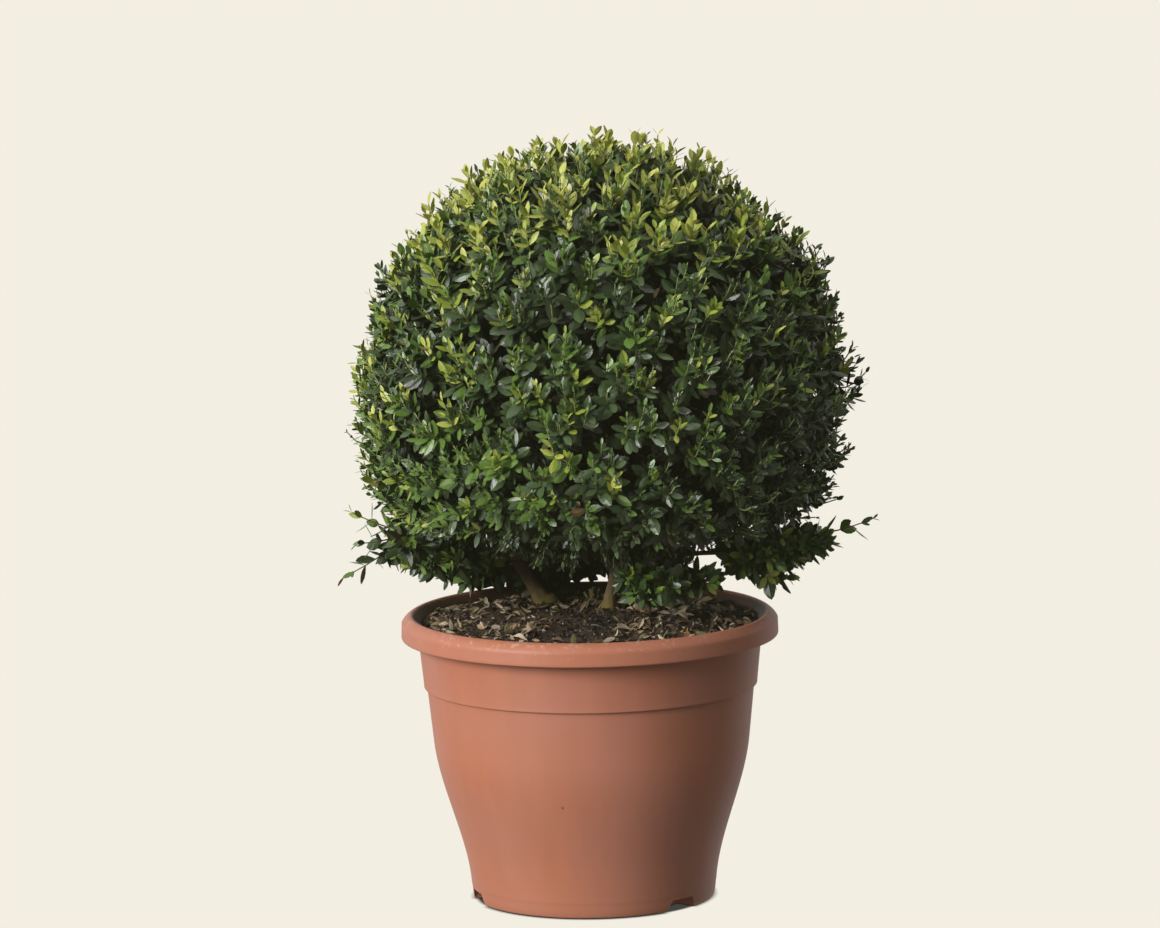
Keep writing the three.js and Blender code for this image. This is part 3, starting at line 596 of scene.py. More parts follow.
def build_pot(pot):
    """Turns the profile round the axis, with the notched foot where a column is in a notch."""
    plain, notched = (np.concatenate([foot_profile(pot, notch), upper_profile(pot)])
                      for notch in (False, True))
    angles, inside = notch_angles(plain[:, 1], plain[:, 0])
    profile = np.where(inside[None, :, None], notched[:, None, :], plain[:, None, :])
    radii, levels, turn = profile[..., 0], profile[..., 1], np.radians(angles)
    points = np.stack([radii * np.cos(turn), radii * np.sin(turn), levels], -1)
    points = np.concatenate([points.reshape(-1, 3), [[0, 0, 0], [0, 0, FLOOR_Z]]])
    plastic = made_once("moulded_polypropylene", pot_material, pot)
    piece = put_piece("pot_moulded", points, shell_faces(*turn.shape), [plastic], sharp=38)
    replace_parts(piece, "pot")


# ------------------------------------------------------------------ soil


# Height, width and seed of the soil's lumps, and how far their middle lies under the mound.
LUMPS = ((3.0, 23, 3), (1.6, 8, 4), (0.8, 3.2, 5))
LUMPS_SUNK = 1.5
SOIL_DEPTH = 35  # of the block that the soil is drawn as, at the pot's wall


def soil_height(soil, x, y):
    """The mound, level in its middle and falling to the wall, with lumps of three sizes."""
    outwards = smooth(soil.mound_radius, SOIL_RADIUS, np.hypot(x, y))
    mound = soil.edge_z + (SOIL_TOP - soil.edge_z) * (1 - outwards)
    return mound - LUMPS_SUNK + clouds(np.stack([x, y, np.zeros_like(x)], -1), LUMPS)


def build_soil(soil):
    """A round block whose top is the soil's relief."""
    radii = np.concatenate([np.linspace(1, SOIL_RADIUS, 96), [SOIL_RADIUS, SOIL_RADIUS - 8]])
    turn = np.radians(np.arange(0, 360, 1.5))
    x, y = radii[:, None] * np.cos(turn), radii[:, None] * np.sin(turn)
    z = soil_height(soil, x, y)
    z[-2:] = bottom = soil.edge_z - SOIL_DEPTH
    top = soil_height(soil, np.zeros(1), np.zeros(1))[0]
    points = np.concatenate([np.stack([x, y, z], -1).reshape(-1, 3), [[0, 0, top], [0, 0, bottom]]])
    earth = made_once("potting_soil", soil_material, soil)
    piece = put_piece("soil_surface", points, shell_faces(*z.shape, turned=True), [earth])
    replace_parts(piece, "soil")


def spots_on_soil(soil, count, rng, outward=0.5):
    """Random places on the soil, at a random number's power of outward times its radius.

    An outward of 0.5 spreads them evenly, and less gathers them at the wall.
    """
    radius = (SOIL_RADIUS - 4) * rng.random(count) ** outward
    turn = rng.random(count) * 2 * math.pi
    x, y = radius * np.cos(turn), radius * np.sin(turn)
    return np.stack([x, y, soil_height(soil, x, y)], -1)


# Colour of each kind of crumb, and its share of them all.
CRUMBS = (
    ("peat_crumb", "#1F1610", 0.5), ("brown_crumb", "#3A2A1E", 0.34), ("dry_crumb", "#66513D", 0.13),
    ("perlite_crumb", "#B9B2A4", 0.03),
)


def build_crumbs(soil):
    """Crumbs of soil: eight-sided lumps of many sizes, half sunk.

    A crumb has its corners on three axes, each at its own random reach, and is turned about +Z.
    """
    rng = np.random.default_rng(61)
    count = soil.crumbs
    centres = spots_on_soil(soil, count, rng)
    reach = (0.6 + 2.2 * rng.random(count) ** 3)[:, None, None] * rng.uniform(0.6, 1.3, (count, 6, 1))
    corners = np.array([[1, 0, 0], [0, 1, 0], [-1, 0, 0], [0, -1, 0], [0, 0, 0.8], [0, 0, -0.8]])
    turn = rng.random(count) * 2 * math.pi
    cos, sin, none, one = np.cos(turn), np.sin(turn), np.zeros(count), np.ones(count)
    twist = np.stack([cos, -sin, none, sin, cos, none, none, none, one], -1).reshape(-1, 3, 3)
    points = centres[:, None, :] + np.einsum("nij,kj->nki", twist, corners) * reach
    sides = [[0, 1, 4], [1, 2, 4], [2, 3, 4], [3, 0, 4], [1, 0, 5], [2, 1, 5], [3, 2, 5], [0, 3, 5]]
    faces = (np.array(sides) + (np.arange(count) * len(corners))[:, None, None]).reshape(-1, 3)
    names, tones, shares = zip(*CRUMBS)
    materials = [plain_material(name, linear(tone), 0.95) for name, tone in zip(names, tones)]
    chosen = np.repeat(rng.choice(len(CRUMBS), count, p=shares), len(sides))
    piece = put_piece("soil_crumbs", points.reshape(-1, 3), [faces], materials, chosen=chosen)
    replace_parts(piece, "soil")


# ------------------------------------------------------------------ leaves


# Stations along a leaf as shares of its length, and its half-width at each, as a share of the
# greatest one.
STATIONS = np.array([0.0, 0.14, 0.36, 0.62, 0.87, 1.0])
HALF_WIDTHS = np.array([0.0, 0.48, 0.94, 1.0, 0.56, 0.0])


def leaf_shape():
    """Points (along, across, stations) and faces of one leaf: a root, four rows of three, a tip."""
    rows = [[(station, side * half) for side in (-1, 0, 1)]
            for station, half in zip(STATIONS[1:-1], HALF_WIDTHS[1:-1])]
    along, across = np.array([(0, 0), *sum(rows, []), (1, 0)], float).T
    quads = [[row + side, row + side + 3, row + side + 4, row + side + 1]
             for row in (1, 4, 7) for side in (0, 1)]
    triangles = [[0, 1, 2], [0, 2, 3], [13, 11, 10], [13, 12, 11]]
    return along, across, np.array(quads), np.array(triangles)


def leaf_points(roots, axes, facings, lengths, widths, camber, curl):
    """Leaves at roots along axes, their faces towards facings.

    A point is root + length (u axis - curl u^2 normal) + half-width v side - camber v^2 width normal,
    so camber bends the edges down and curl bends the tip back.
    """
    along, across, _, _ = leaf_shape()
    side = unit(np.cross(facings, axes))
    normal = np.cross(axes, side)
    u, v = along[None, :, None], across[None, :, None]
    lengths, widths, camber, curl = (x[:, None, None] for x in (lengths, widths, camber, curl))
    points = roots[:, None] + lengths * u * axes[:, None] + 0.5 * widths * v * side[:, None]
    return points - (curl * lengths * u ** 2 + camber * widths * v ** 2) * normal[:, None]


def leaf_piece(name, leaves, materials):
    """A piece of many leaves, each one flat-faced with its crease at the midrib.

    leaves holds the leaves' points, and the number of each one's material.
    """
    points, tones = leaves
    _, _, quads, triangles = leaf_shape()
    each = (np.arange(len(points)) * points.shape[1])[:, None, None]
    faces = [(part[None] + each).reshape(-1, part.shape[1]) for part in (quads, triangles)]
    chosen = np.concatenate([np.repeat(tones, len(quads)), np.repeat(tones, len(triangles))])
    return put_piece(name, points.reshape(-1, 3), faces, materials, chosen=chosen, rounded=False)


# Colours of the litter, and their shares of the fallen leaves and of the chips.
LITTER = (
    ("fallen_leaf_cream", "#CBB898", 0.22, 0.12), ("fallen_leaf_tan", "#A58E6C", 0.26, 0.16),
    ("fallen_leaf_brown", "#5C4734", 0.28, 0.48), ("fallen_leaf_grey", "#8B7E6B", 0.16, 0.22),
    ("fallen_leaf_rust", "#A06A3C", 0.03, 0.02), ("fallen_leaf_olive", "#6C6840", 0.05, 0.0),
)
BARE_PATCH = {"x": -12, "y": -75, "wide": 42, "deep": 95}  # its middle and its bell's spread


def build_litter(soil):
    """Fallen box leaves, bark chips and bits of twig that lie on the soil in drifts.

    They are thin in a bare patch, by exp(-(x / wide)^2 - (y / deep)^2) from its middle, and
    elsewhere by a cloudy pattern. Those sunk in the relief are lifted onto it.
    """
    rng = np.random.default_rng(62)
    names, tones, leaf_shares, chip_shares = zip(*LITTER)
    materials = [plain_material(name, linear(tone), 0.7) for name, tone in zip(names, tones)]
    parts = []
    for count, length, width, shares in ((soil.dry_leaves, (7, 16), (0.26, 0.48), leaf_shares),
                                         (soil.chips, (2.5, 12), (0.1, 0.3), chip_shares)):
        roots = spots_on_soil(soil, count, rng, 0.46) + [0, 0, 1.2]
        axes = direction(rng.random(count) * 360, rng.normal(4, 9, count))
        facings = unit(UP + 0.7 * rng.normal(size=(count, 3)))
        lengths = rng.uniform(*length, count)
        widths = lengths * rng.uniform(*width, count)
        curl = rng.uniform(-0.6, 0.7, count)
        camber = rng.uniform(-0.6, 0.6, count)
        points = leaf_points(roots, axes, facings, lengths, widths, camber, curl)
        middle = points.mean(1)
        ground = soil_height(soil, middle[:, 0], middle[:, 1])
        points[..., 2] += np.maximum(0, ground - 0.7 - points[..., 2].min(1))[:, None]
        inside = np.hypot(points[..., 0], points[..., 1]).max(1) < SOIL_RADIUS - 1
        bare = np.exp(-((middle[:, 0] - BARE_PATCH["x"]) / BARE_PATCH["wide"]) ** 2
                      - ((middle[:, 1] - BARE_PATCH["y"]) / BARE_PATCH["deep"]) ** 2)
        inside &= rng.random(count) > 0.9 * bare + 0.25 + 0.4 * cloud(middle, 34, 63)
        parts.append((points[inside], rng.choice(len(LITTER), count, p=shares)[inside]))
    leaves = tuple(np.concatenate(each) for each in zip(*parts))
    piece = leaf_piece("soil_litter", leaves, materials)
    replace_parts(piece, "soil")


# ------------------------------------------------------------------ limbs


# Foot is a stem's place on the soil, and it leans that many degrees from upright to its azimuth.
# Radii are at its foot and its top, and flare is added to the radius at the very foot.
STEMS = {
    "stem_left": {
        "foot": (-46, 76), "azimuth": 178, "lean": 33, "height": 44, "radii": (7.2, 5.4), "flare": 7,
    },
    "stem_right": {
        "foot": (19, 34), "azimuth": 12, "lean": 11, "height": 40, "radii": (5.8, 4.7), "flare": 5,
    },
}
STEM_SIDES, STEM_RELIEF = 28, 0.13
STEM_FLARE = {"reach": 0.13, "buttresses": 3, "depth": 0.35}  # reach is a share of the stem
STEM_BEND = {"at": 0.45, "rise": 0.06}  # shares of the stem's height
STEM_SUNK = 2  # how far a stem's first ring goes into the soil
# End is a radius and azimuth about the crown's axis and a level, which is None under its core.
BOUGHS = {
    "bough_left_upright": {"stem": "stem_left", "end": (78, 158, None), "radii": (4.4, 3.4)},
    "bough_left_inner": {"stem": "stem_left", "end": (52, 95, None), "radii": (3.8, 3.0)},
    "bough_right_upright": {"stem": "stem_right", "end": (12, 60, None), "radii": (4.2, 3.4)},
    "bough_right_inner": {"stem": "stem_right", "end": (62, 20, None), "radii": (3.4, 2.8)},
    "bough_left_low": {"stem": "stem_left", "end": (140, 178, 350), "radii": (3.4, 2.0)},
    "bough_right_low": {"stem": "stem_right", "end": (130, -3, 344), "radii": (3.2, 2.0)},
    "bough_back_low": {"stem": "stem_left", "end": (118, 97, 326), "radii": (3.2, 2.0)},
    "bough_front_low": {"stem": "stem_right", "end": (56, -60, 334), "radii": (2.8, 2.0)},
    "bough_middle_low": {"stem": "stem_left", "end": (145, 131, 320), "radii": (2.4, 2.0)},
}
BOUGH_SIDES, BOUGH_RELIEF = 18, 0.08
BOUGH_START = 0.93  # share of its stem at which a bough leaves
BOUGH_ONWARD = 16  # how far a bough carries on in its stem's direction before it turns
BOUGH_ARRIVAL = {"upright": 0.3, "low": -0.045}  # rise at its end, as a share of its span
UPRIGHTS = [name for name, bough in BOUGHS.items() if bough["end"][2] is None]
CORE_FLOOR = 352.0  # level that the upright boughs reach, just under the crown's core
CROWN_CENTRE = np.array([15.0, 0.0, 514.0])
# Relief of bark. Furrows are noise on a tube of radius wrapped, where a limb's length counts only
# by drawn_out, so that they run along the limb. Knobs are noise of their own width and share.
FURROWS = {"wrapped": 4, "drawn_out": 0.22, "width": 1.5}
KNOBS = {"width": 5.5, "share": 0.8}


def place_about(radius, azimuth, level=None):
    """A place named by its radius and azimuth about the crown's axis, and its level."""
    place = CROWN_CENTRE + radius * direction(azimuth)
    place[2] = CORE_FLOOR - 0.3 if level is None else level
    return place


def stem_line(stem, t):
    """A stem's middle line: a quadratic curve from its foot to its top."""
    foot = np.array([*stem["foot"], SOIL_TOP + 0.3])
    run = stem["height"] * math.tan(math.radians(stem["lean"]))
    top = foot + run * direction(stem["azimuth"]) + stem["height"] * UP
    bend = foot + STEM_BEND["at"] * (top - foot) + STEM_BEND["rise"] * stem["height"] * UP
    t = np.asarray(t, float)[..., None]
    return (1 - t) ** 2 * foot + 2 * t * (1 - t) * bend + t ** 2 * top


def bough_line(bough, t):
    """A bough's middle line: a cubic curve from its stem's top that carries on, then turns."""
    stem = STEMS[bough["stem"]]
    start = stem_line(stem, BOUGH_START)
    onward = unit(stem_line(stem, 1.0) - stem_line(stem, 0.98))
    end = place_about(*bough["end"])
    arrival = BOUGH_ARRIVAL["upright" if bough["end"][2] is None else "low"]
    near = start + BOUGH_ONWARD * onward
    arrive = end - arrival * np.linalg.norm(end - start) * UP
    t = np.asarray(t, float)[..., None]
    return ((1 - t) ** 3 * start + 3 * t * (1 - t) ** 2 * near
            + 3 * t ** 2 * (1 - t) * arrive + t ** 3 * end)


def bark_surface(line, radius, relief, seed):
    """A limb's skin: rings round its line, with furrows that run along it and a few knobs.

    The radius at a point is the limb's own times 1 + relief (furrows + knobs).
    """
    turn = np.arange(radius.shape[1]) * 2 * math.pi / radius.shape[1]
    cos, sin = np.cos(turn), np.sin(turn)
    length = np.concatenate([[0], np.cumsum(np.linalg.norm(np.diff(line, axis=0), axis=1))])
    length = length[:, None, None] * UP
    circle = FURROWS["wrapped"] * np.stack([cos, sin, np.zeros_like(turn)], -1)[None]
    swell = (cloud(circle + length * FURROWS["drawn_out"], FURROWS["width"], seed)
             + KNOBS["share"] * cloud(circle + length, KNOBS["width"], seed + 1))
    first, second = across_axes(unit(np.gradient(line, axis=0)))
    ring = first[:, None] * cos[None, :, None] + second[:, None] * sin[None, :, None]
    return line[:, None] + (radius * (1 + relief * swell))[..., None] * ring


def limb_piece(name, line, radius, relief, material, seed):
    """One limb with its bark, closed at both ends. radius has a row for each point of the line."""
    rings = bark_surface(line, radius, relief, seed)
    points = np.concatenate([rings.reshape(-1, 3), line[[0, -1]]])
    return put_piece(name, points, shell_faces(*radius.shape), [material])


def build_limbs(leaves):
    """Stems and boughs with bark relief, each on the line of its CAD node.

    A limb tapers evenly. A stem's flare fades as exp(-t / reach) up from its foot, in buttresses
    that swell by 1 + depth cos(number of buttresses times the angle).
    """
    bough_bark = made_once("box_bark", bark_material, leaves, leaves.bark)
    # paler stem bark: partly painted light on the shaded stems
    stem_bark = made_once("box_stem_bark", bark_material, leaves, leaves.stem_bark)
    turn = np.arange(STEM_SIDES) * 2 * math.pi / STEM_SIDES
    for seed, (name, stem) in enumerate(STEMS.items()):
        t = np.linspace(0, 1, 48)
        buttress = 1 + STEM_FLARE["depth"] * np.cos(STEM_FLARE["buttresses"] * turn + stem["azimuth"])
        fade = np.exp(-t / STEM_FLARE["reach"])[:, None]
        radius = np.linspace(*stem["radii"], len(t))[:, None] + stem["flare"] * fade * buttress
        line = stem_line(stem, t)
        line[0, 2] -= STEM_SUNK
        piece = limb_piece(name + "_bark", line, radius, STEM_RELIEF, stem_bark, 70 + seed)
        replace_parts(piece, name)
    for seed, (name, bough) in enumerate(BOUGHS.items()):
        line = bough_line(bough, np.linspace(0, 1, 40))
        radius = np.linspace(*bough["radii"], len(line))[:, None] * np.ones(BOUGH_SIDES)
        piece = limb_piece(name + "_bark", line, radius, BOUGH_RELIEF, bough_bark, 80 + seed)
        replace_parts(piece, name)


# Elevations and lengths of the stubs are ranges, and radii are at both ends.
CUT_STUBS = {
    "foot": (3.0, 72.0), "knuckle": {"radius": 8.2, "height": 7, "relief": 0.16, "rings": 12, "sides": 24},
    "count": 9, "elevations": (48, 84), "lengths": (11, 18), "radii": (2.3, 1.7),
}


def build_cut_stubs(leaves):
    """A knuckle of old wood with short stubs, each with a paler cut end.

    The knuckle is a dome, its radius times sqrt(1 - (share of its height)^2), blunt at its top. A
    stub is a slightly bent tube.
    """
    rng = np.random.default_rng(5)
    count, knuckle = CUT_STUBS["count"], CUT_STUBS["knuckle"]
    rings, sides = knuckle["rings"], knuckle["sides"]
    foot = np.array([*CUT_STUBS["foot"], SOIL_TOP - 1])
    (flattest, steepest), (shortest, longest) = CUT_STUBS["elevations"], CUT_STUBS["lengths"]
    leans = direction(rng.random(count) * 360, flattest + (steepest - flattest) * rng.random(count))
    ends = foot + leans * (shortest + (longest - shortest) * rng.random(count))[:, None]
    starts = foot + rng.normal(0, 2.2, (count, 3)) * [1, 1, 0]
    lines = bent_lines(starts, (starts + ends) / 2 + rng.normal(0, 0.8, (count, 3)), ends, 6)
    radii = np.linspace(*CUT_STUBS["radii"], 7)[None] * rng.uniform(0.7, 1.15, (count, 1))
    points, strips, caps = tubes(lines, radii, 9)
    up = np.linspace(0, knuckle["height"], rings)
    line = foot + up[:, None] * UP
    dome = knuckle["radius"] * np.sqrt(1.02 - (up / knuckle["height"]) ** 2)
    skin = bark_surface(line, dome[:, None] * np.ones(sides), knuckle["relief"], 77)
    wall, *discs = (part + len(points) for part in shell_faces(rings, sides))
    points = np.concatenate([points, skin.reshape(-1, 3), line[[0, -1]]])
    faces = [np.concatenate([strips, wall]), caps, np.concatenate(discs)]
    chosen = np.concatenate([np.full(len(part), number) for part, number in zip(faces, (0, 1, 0))])
    woods = [made_once("box_bark", bark_material, leaves, leaves.bark),
             plain_material("cut_box_wood", linear("#B9A57E"), 0.8)]
    piece = put_piece("cut_stubs_bark", points, faces, woods, chosen=chosen)
    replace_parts(piece, "cut_stubs")


# ------------------------------------------------------------------ shoots


# Each tint of leaf with the roughness of its skin, from old shaded leaves to opening ones, and dead.
TINTS = {
    "shade": 0.5, "dark": 0.34, "deep": 0.32, "middle": 0.36, "fresh": 0.42, "young": 0.48, "dry": 0.7,
}
TINT_STEPS = (0.12, 0.3, 0.48, 0.66, 0.84)  # tones at which a leaf takes the next tint


def leaf_materials(colours):
    """One leaf material for each tint."""
    return [made_once("box_leaf_" + tint, leaf_material, getattr(colours, tint), roughness)
            for tint, roughness in TINTS.items()]


# A shoot's leaves: how far along it the first pair stands, the scatter of pairs along it, the
# share of leaves lost, and a grown leaf's camber and curl as shares of its width and length.
SHOOT = {"first": 0.2, "scatter": 0.02, "lost": 0.08, "camber": 0.17, "curl": 0.1}
# A leaf's angle to its shoot, in degrees: at the base, closing evenly, at the tip, and its scatter.
LEAN = {"base": 66, "evenly": 20, "tip": 14, "scatter": 7}


def shoot_leaves(lines, vigour, tipness, lengths, slimness, pairs, rng):
    """Crossed pairs of leaves along shoots, and a tuft of small ones at each tip.

    A leaf leans from the shoot by an angle that closes from about 62 degrees at the first pair to
    32 at the tip, and each pair stands at a right angle to the one before. A leaf's tone is its
    shoot's vigour, and in the tuft at the tip the shoot's tipness more. Leaves are smallest at the
    tip, less so on a shoot of much tipness. Slimness is a leaf's width over its length.
    """
    count, steps = lines.shape[0], lines.shape[1] - 1
    scatter = rng.uniform(-SHOOT["scatter"], SHOOT["scatter"], (count, pairs))
    place = np.clip(np.linspace(SHOOT["first"], 1.0, pairs)[None] + scatter, 0, 1)
    spot = place * steps
    below = np.minimum(np.floor(spot).astype(int), steps - 1)
    share = (spot - below)[..., None]
    row = np.arange(count)[:, None]
    roots = lines[row, below] * (1 - share) + lines[row, below + 1] * share
    axes = unit(lines[row, below + 1] - lines[row, below])
    first, second = across_axes(axes)
    turn = (rng.random((count, 1)) * math.pi + np.arange(pairs)[None] * math.pi / 2
            + rng.normal(0, 0.2, (count, pairs)))[..., None]
    side = first * np.cos(turn) + second * np.sin(turn)
    tuft, young = smooth(0.58, 0.8, place), smooth(0.62, 1.0, place)
    lean = np.radians(LEAN["base"] - LEAN["evenly"] * place - LEAN["tip"] * young
                      + rng.normal(0, LEAN["scatter"], (count, pairs)))[..., None]
    shrink = 0.6 - 0.45 * np.clip(tipness, 0, 0.6)[:, None]
    sizes = lengths[:, None] * (0.8 + 0.2 * smooth(0.1, 0.4, place)) * (1 - shrink * young)
    sizes = sizes * rng.uniform(0.76, 1.15, (count, pairs))
    grown = []
    for sign in (1, -1):
        tilt = lean + np.radians(rng.normal(0, LEAN["scatter"], (count, pairs)))[..., None]
        along = unit(axes * np.cos(tilt) + sign * side * np.sin(tilt) + rng.normal(0, 0.08, axes.shape))
        facing = unit(axes - along * (axes * along).sum(-1, keepdims=True)
                      + rng.normal(0, 0.12, axes.shape))
        keep = rng.random((count, pairs)) > SHOOT["lost"]
        grown.append((roots, along, facing, sizes * rng.uniform(0.9, 1.1, sizes.shape), keep))
    roots, along, facing, sizes, keep = (np.concatenate(parts) for parts in zip(*grown))
    tuft, young, vigour, tipness = (np.concatenate([part, part])
                                    for part in (tuft, young, vigour, tipness))
    tone = vigour[:, None] + tipness[:, None] * tuft + rng.normal(0, 0.06, young.shape)
    widths = sizes * slimness * rng.uniform(0.86, 1.14, sizes.shape) * (1 - 0.1 * young)
    camber = SHOOT["camber"] * rng.uniform(0.4, 1.3, sizes.shape) * (1 - 1.7 * young)
    curl = rng.normal(SHOOT["curl"], 0.07, sizes.shape) * (1 - 0.6 * young)
    points = leaf_points(*(part[keep] for part in (roots, along, facing, sizes, widths, camber, curl)))
    return points, tone[keep]


def deal_tints(tone, rng, dry=0.0008):
    """The tint of each leaf from its tone, with a share of dry leaves."""
    tints = np.digitize(tone, TINT_STEPS)
    tints[rng.random(len(tone)) < dry] = list(TINTS).index("dry")
    return tints


# ------------------------------------------------------------------ crown


# Swellings and dents of the clipped outline: azimuth, elevation, rise and spread.
LOBES = (
    (0, 48, -18, 7), (0, 17, -5, 9), (0, 30, 10, 5), (0, 2, 14, 6), (0, -26, 14, 9), (0, 90, -13, 7),
    (0, 58, 5, 5), (180, 16, -15, 9), (180, 40, -24, 5), (168, 39, -16, 5), (192, 39, -16, 5),
    (180, 53, 9, 7), (180, 62, -6, 5), (180, -6, -4, 8), (180, -24, 5, 9),
    (100, 30, -8, 18), (60, -5, 5, 16), (-120, 55, 4, 14), (-60, 5, -4, 16), (-108, -38, -26, 15),
)


# The underside's level middle, the radius where it is fully risen, and by how much.
UNDERSIDE = {"level": 90.0, "full": 200.0, "rise": 38.0}


def crown_reach(crown, towards):
    """Distance from the centre to the leaf tips: the radius, the lobes, and the cut underside.

    A lobe adds rise exp(-(angle / spread)^2). The underside is level in its middle and rises
    smoothly beyond that.
    """
    reach = np.full(len(towards), crown.radius)
    for azimuth, elevation, rise, spread in LOBES:
        angle = np.degrees(np.arccos(np.clip(towards @ direction(azimuth, elevation), -1, 1)))
        reach = reach + rise * np.exp(-(angle / spread) ** 2)
    fall = np.maximum(-towards[:, 2], 1e-6)
    drop = CROWN_CENTRE[2] - crown.lowest_z
    outward = drop / fall * np.hypot(towards[:, 0], towards[:, 1])
    drop = drop - UNDERSIDE["rise"] * smooth(UNDERSIDE["level"], UNDERSIDE["full"], outward)
    return np.minimum(reach, drop / fall)


def nearest(points, candidates):
    """For each point, the number of its nearest candidate."""
    gaps = ((points[:, None] - candidates[None]) ** 2).sum(-1)
    return gaps.argmin(1)


# How much each side of the ball adds to a shoot's vigour, and to the share of shoots that flush.
# All and patches are growth alone. Light, lit_skirt and above are partly growth and partly painted
# light, under is painted shade, and far is painted light on the front right, turned from the key.
VIGOUR_AND_PAINTED_LIGHT = {
    "all": 0.19, "light": 0.15, "lit_skirt": 0.1, "above": 0.05, "under": -0.16, "patches": 0.14,
    "far": 0.07,
}
FLUSH_AND_PAINTED_LIGHT = {"all": 0.24, "above": 0.34, "light": 0.12, "far": 0.1, "patches": 0.3}
PATCHES = ((0.5, 62, 31), (0.5, 26, 32))  # height, width and seed of clouds


def crown_tones(crown, towards, rng):
    """How green a shoot is, and how yellow its tip: each a weighed sum of the sides it is on.

    Low towards the light the whole shoot is greener, partly as growth and partly as painted light,
    and the underside is dark as painted shade. The front right, turned from the key light, gets
    lighter tints as painted light. A share of the shoots has flushed and carries a yellow-green
    tuft: most on top, fewest away from the light; the tufts on top, towards the light and on the
    front right are partly painted light. Both vary in patches.
    """
    height = towards[:, 2]
    # painted light: leaves towards the key light get greener, lighter tints, partly as growth
    light = smooth(-0.3, 0.9, towards @ direction(-152, 0))
    # painted shade: the underside gets dark tints
    under = smooth(-0.4, -0.68, height)
    skirt = smooth(0.1, -0.2, height) * (1 - under)
    sides = {
        "all": 1.0, "light": light, "lit_skirt": light * skirt, "above": smooth(0.3, 0.95, height),
        # far lifts the front right, which is turned from the key light, as painted light
        "under": under, "far": smooth(0.3, 0.9, towards @ direction(-30, 10)),
        "patches": clouds(towards * crown.radius, PATCHES),
    }
    vigour, share = (sum(weight * sides[side] for side, weight in weights.items())
                     for weights in (VIGOUR_AND_PAINTED_LIGHT, FLUSH_AND_PAINTED_LIGHT))
    flushed = rng.random(len(towards)) < share * (1 - 0.8 * skirt) * (1 - under)
    noise = rng.normal(0, 1, (2, len(towards)))
    tipness = np.where(flushed, 0.36 + 0.3 * sides["above"], 0.08) + 0.09 * noise[1]
    return vigour + 0.07 * noise[0], np.maximum(0.04, tipness)


# The ball's own boughs and branches: the share of the reach that they end at, the scatter of
# their directions, the steps and sides of a limb, and its radii at both ends.
WOOD = {
    "boughs": {"reach": 0.45, "scatter": 0.1, "steps": 8, "sides": 7, "radii": (3.6, 2.0)},
    "branches": {"reach": 0.72, "scatter": 0.06, "steps": 5, "sides": 5, "radii": (1.9, 1.1)},
}
# The ball's layers of shoots: how far in they end as a share of the reach, the pairs of leaves on
# a shoot, the steps of its curve, and how many pieces the leaves are dealt into.
LAYERS = {
    "outer": {"depth": 0.0, "pairs": 8, "steps": 6, "pieces": 4},
    "inner": {"depth": 0.12, "pairs": 6, "steps": 4, "pieces": 2},
    "deep": {"depth": 0.34, "pairs": 5, "steps": 3, "pieces": 2},
}
# How far shoots end inside the outline, which leaves room for their last leaves, the scatter of
# that, and for the deeper layers its spread. A share of the outer shoots is bare and ends further.
TIPS = {"inside": 6.5, "scatter": 9, "deep_spread": 130, "bare": 0.18, "further": 5}
BUMPS = ((6, 42, 33), (4, 17, 34))  # height, width and seed of the outline's clouds


def crown_shoots(crown, count, layer, branches, rng):
    """Lines of a layer's shoots, the directions of their tips, and which have bare green bark.

    A shoot leaves its nearest branch and curves outwards to its tip, and up, most on the ball's
    sides and not under it. Its tip is inside the outline by a random depth, with cloudy bumps.
    """
    depth, outer = layer["depth"], layer["depth"] == 0
    branch_towards, branch_ends = branches
    towards = unit(evenly(count) + rng.normal(0, 0.03, (count, 3)))
    branch = nearest(towards, branch_towards)
    towards = unit(towards * (1 - crown.pull) + branch_towards[branch] * crown.pull)
    bare = rng.random(count) < TIPS["bare"] * outer
    inside = TIPS["inside"] + np.abs(rng.normal(0, TIPS["scatter"], count)) - TIPS["further"] * bare
    inside = inside + rng.random(count) * depth * TIPS["deep_spread"]
    bumps = clouds(towards * crown.radius, BUMPS) * outer
    tips = crown_reach(crown, towards) * (1 - depth) - inside + bumps
    height = towards[:, 2:3]
    upturn = (0.1 + 1.7 * smooth(-0.8, -0.05, height)) * np.sqrt(1 - height ** 2)
    ends = CROWN_CENTRE + towards * tips[:, None]
    starts = branch_ends[branch] + rng.normal(0, 4, ends.shape)
    span = np.linalg.norm(ends - starts, axis=1, keepdims=True)
    outward = unit(towards + upturn * UP + rng.normal(0, 0.13, towards.shape))
    return bent_lines(starts, ends - outward * span * 0.55, ends, layer["steps"]), towards, bare


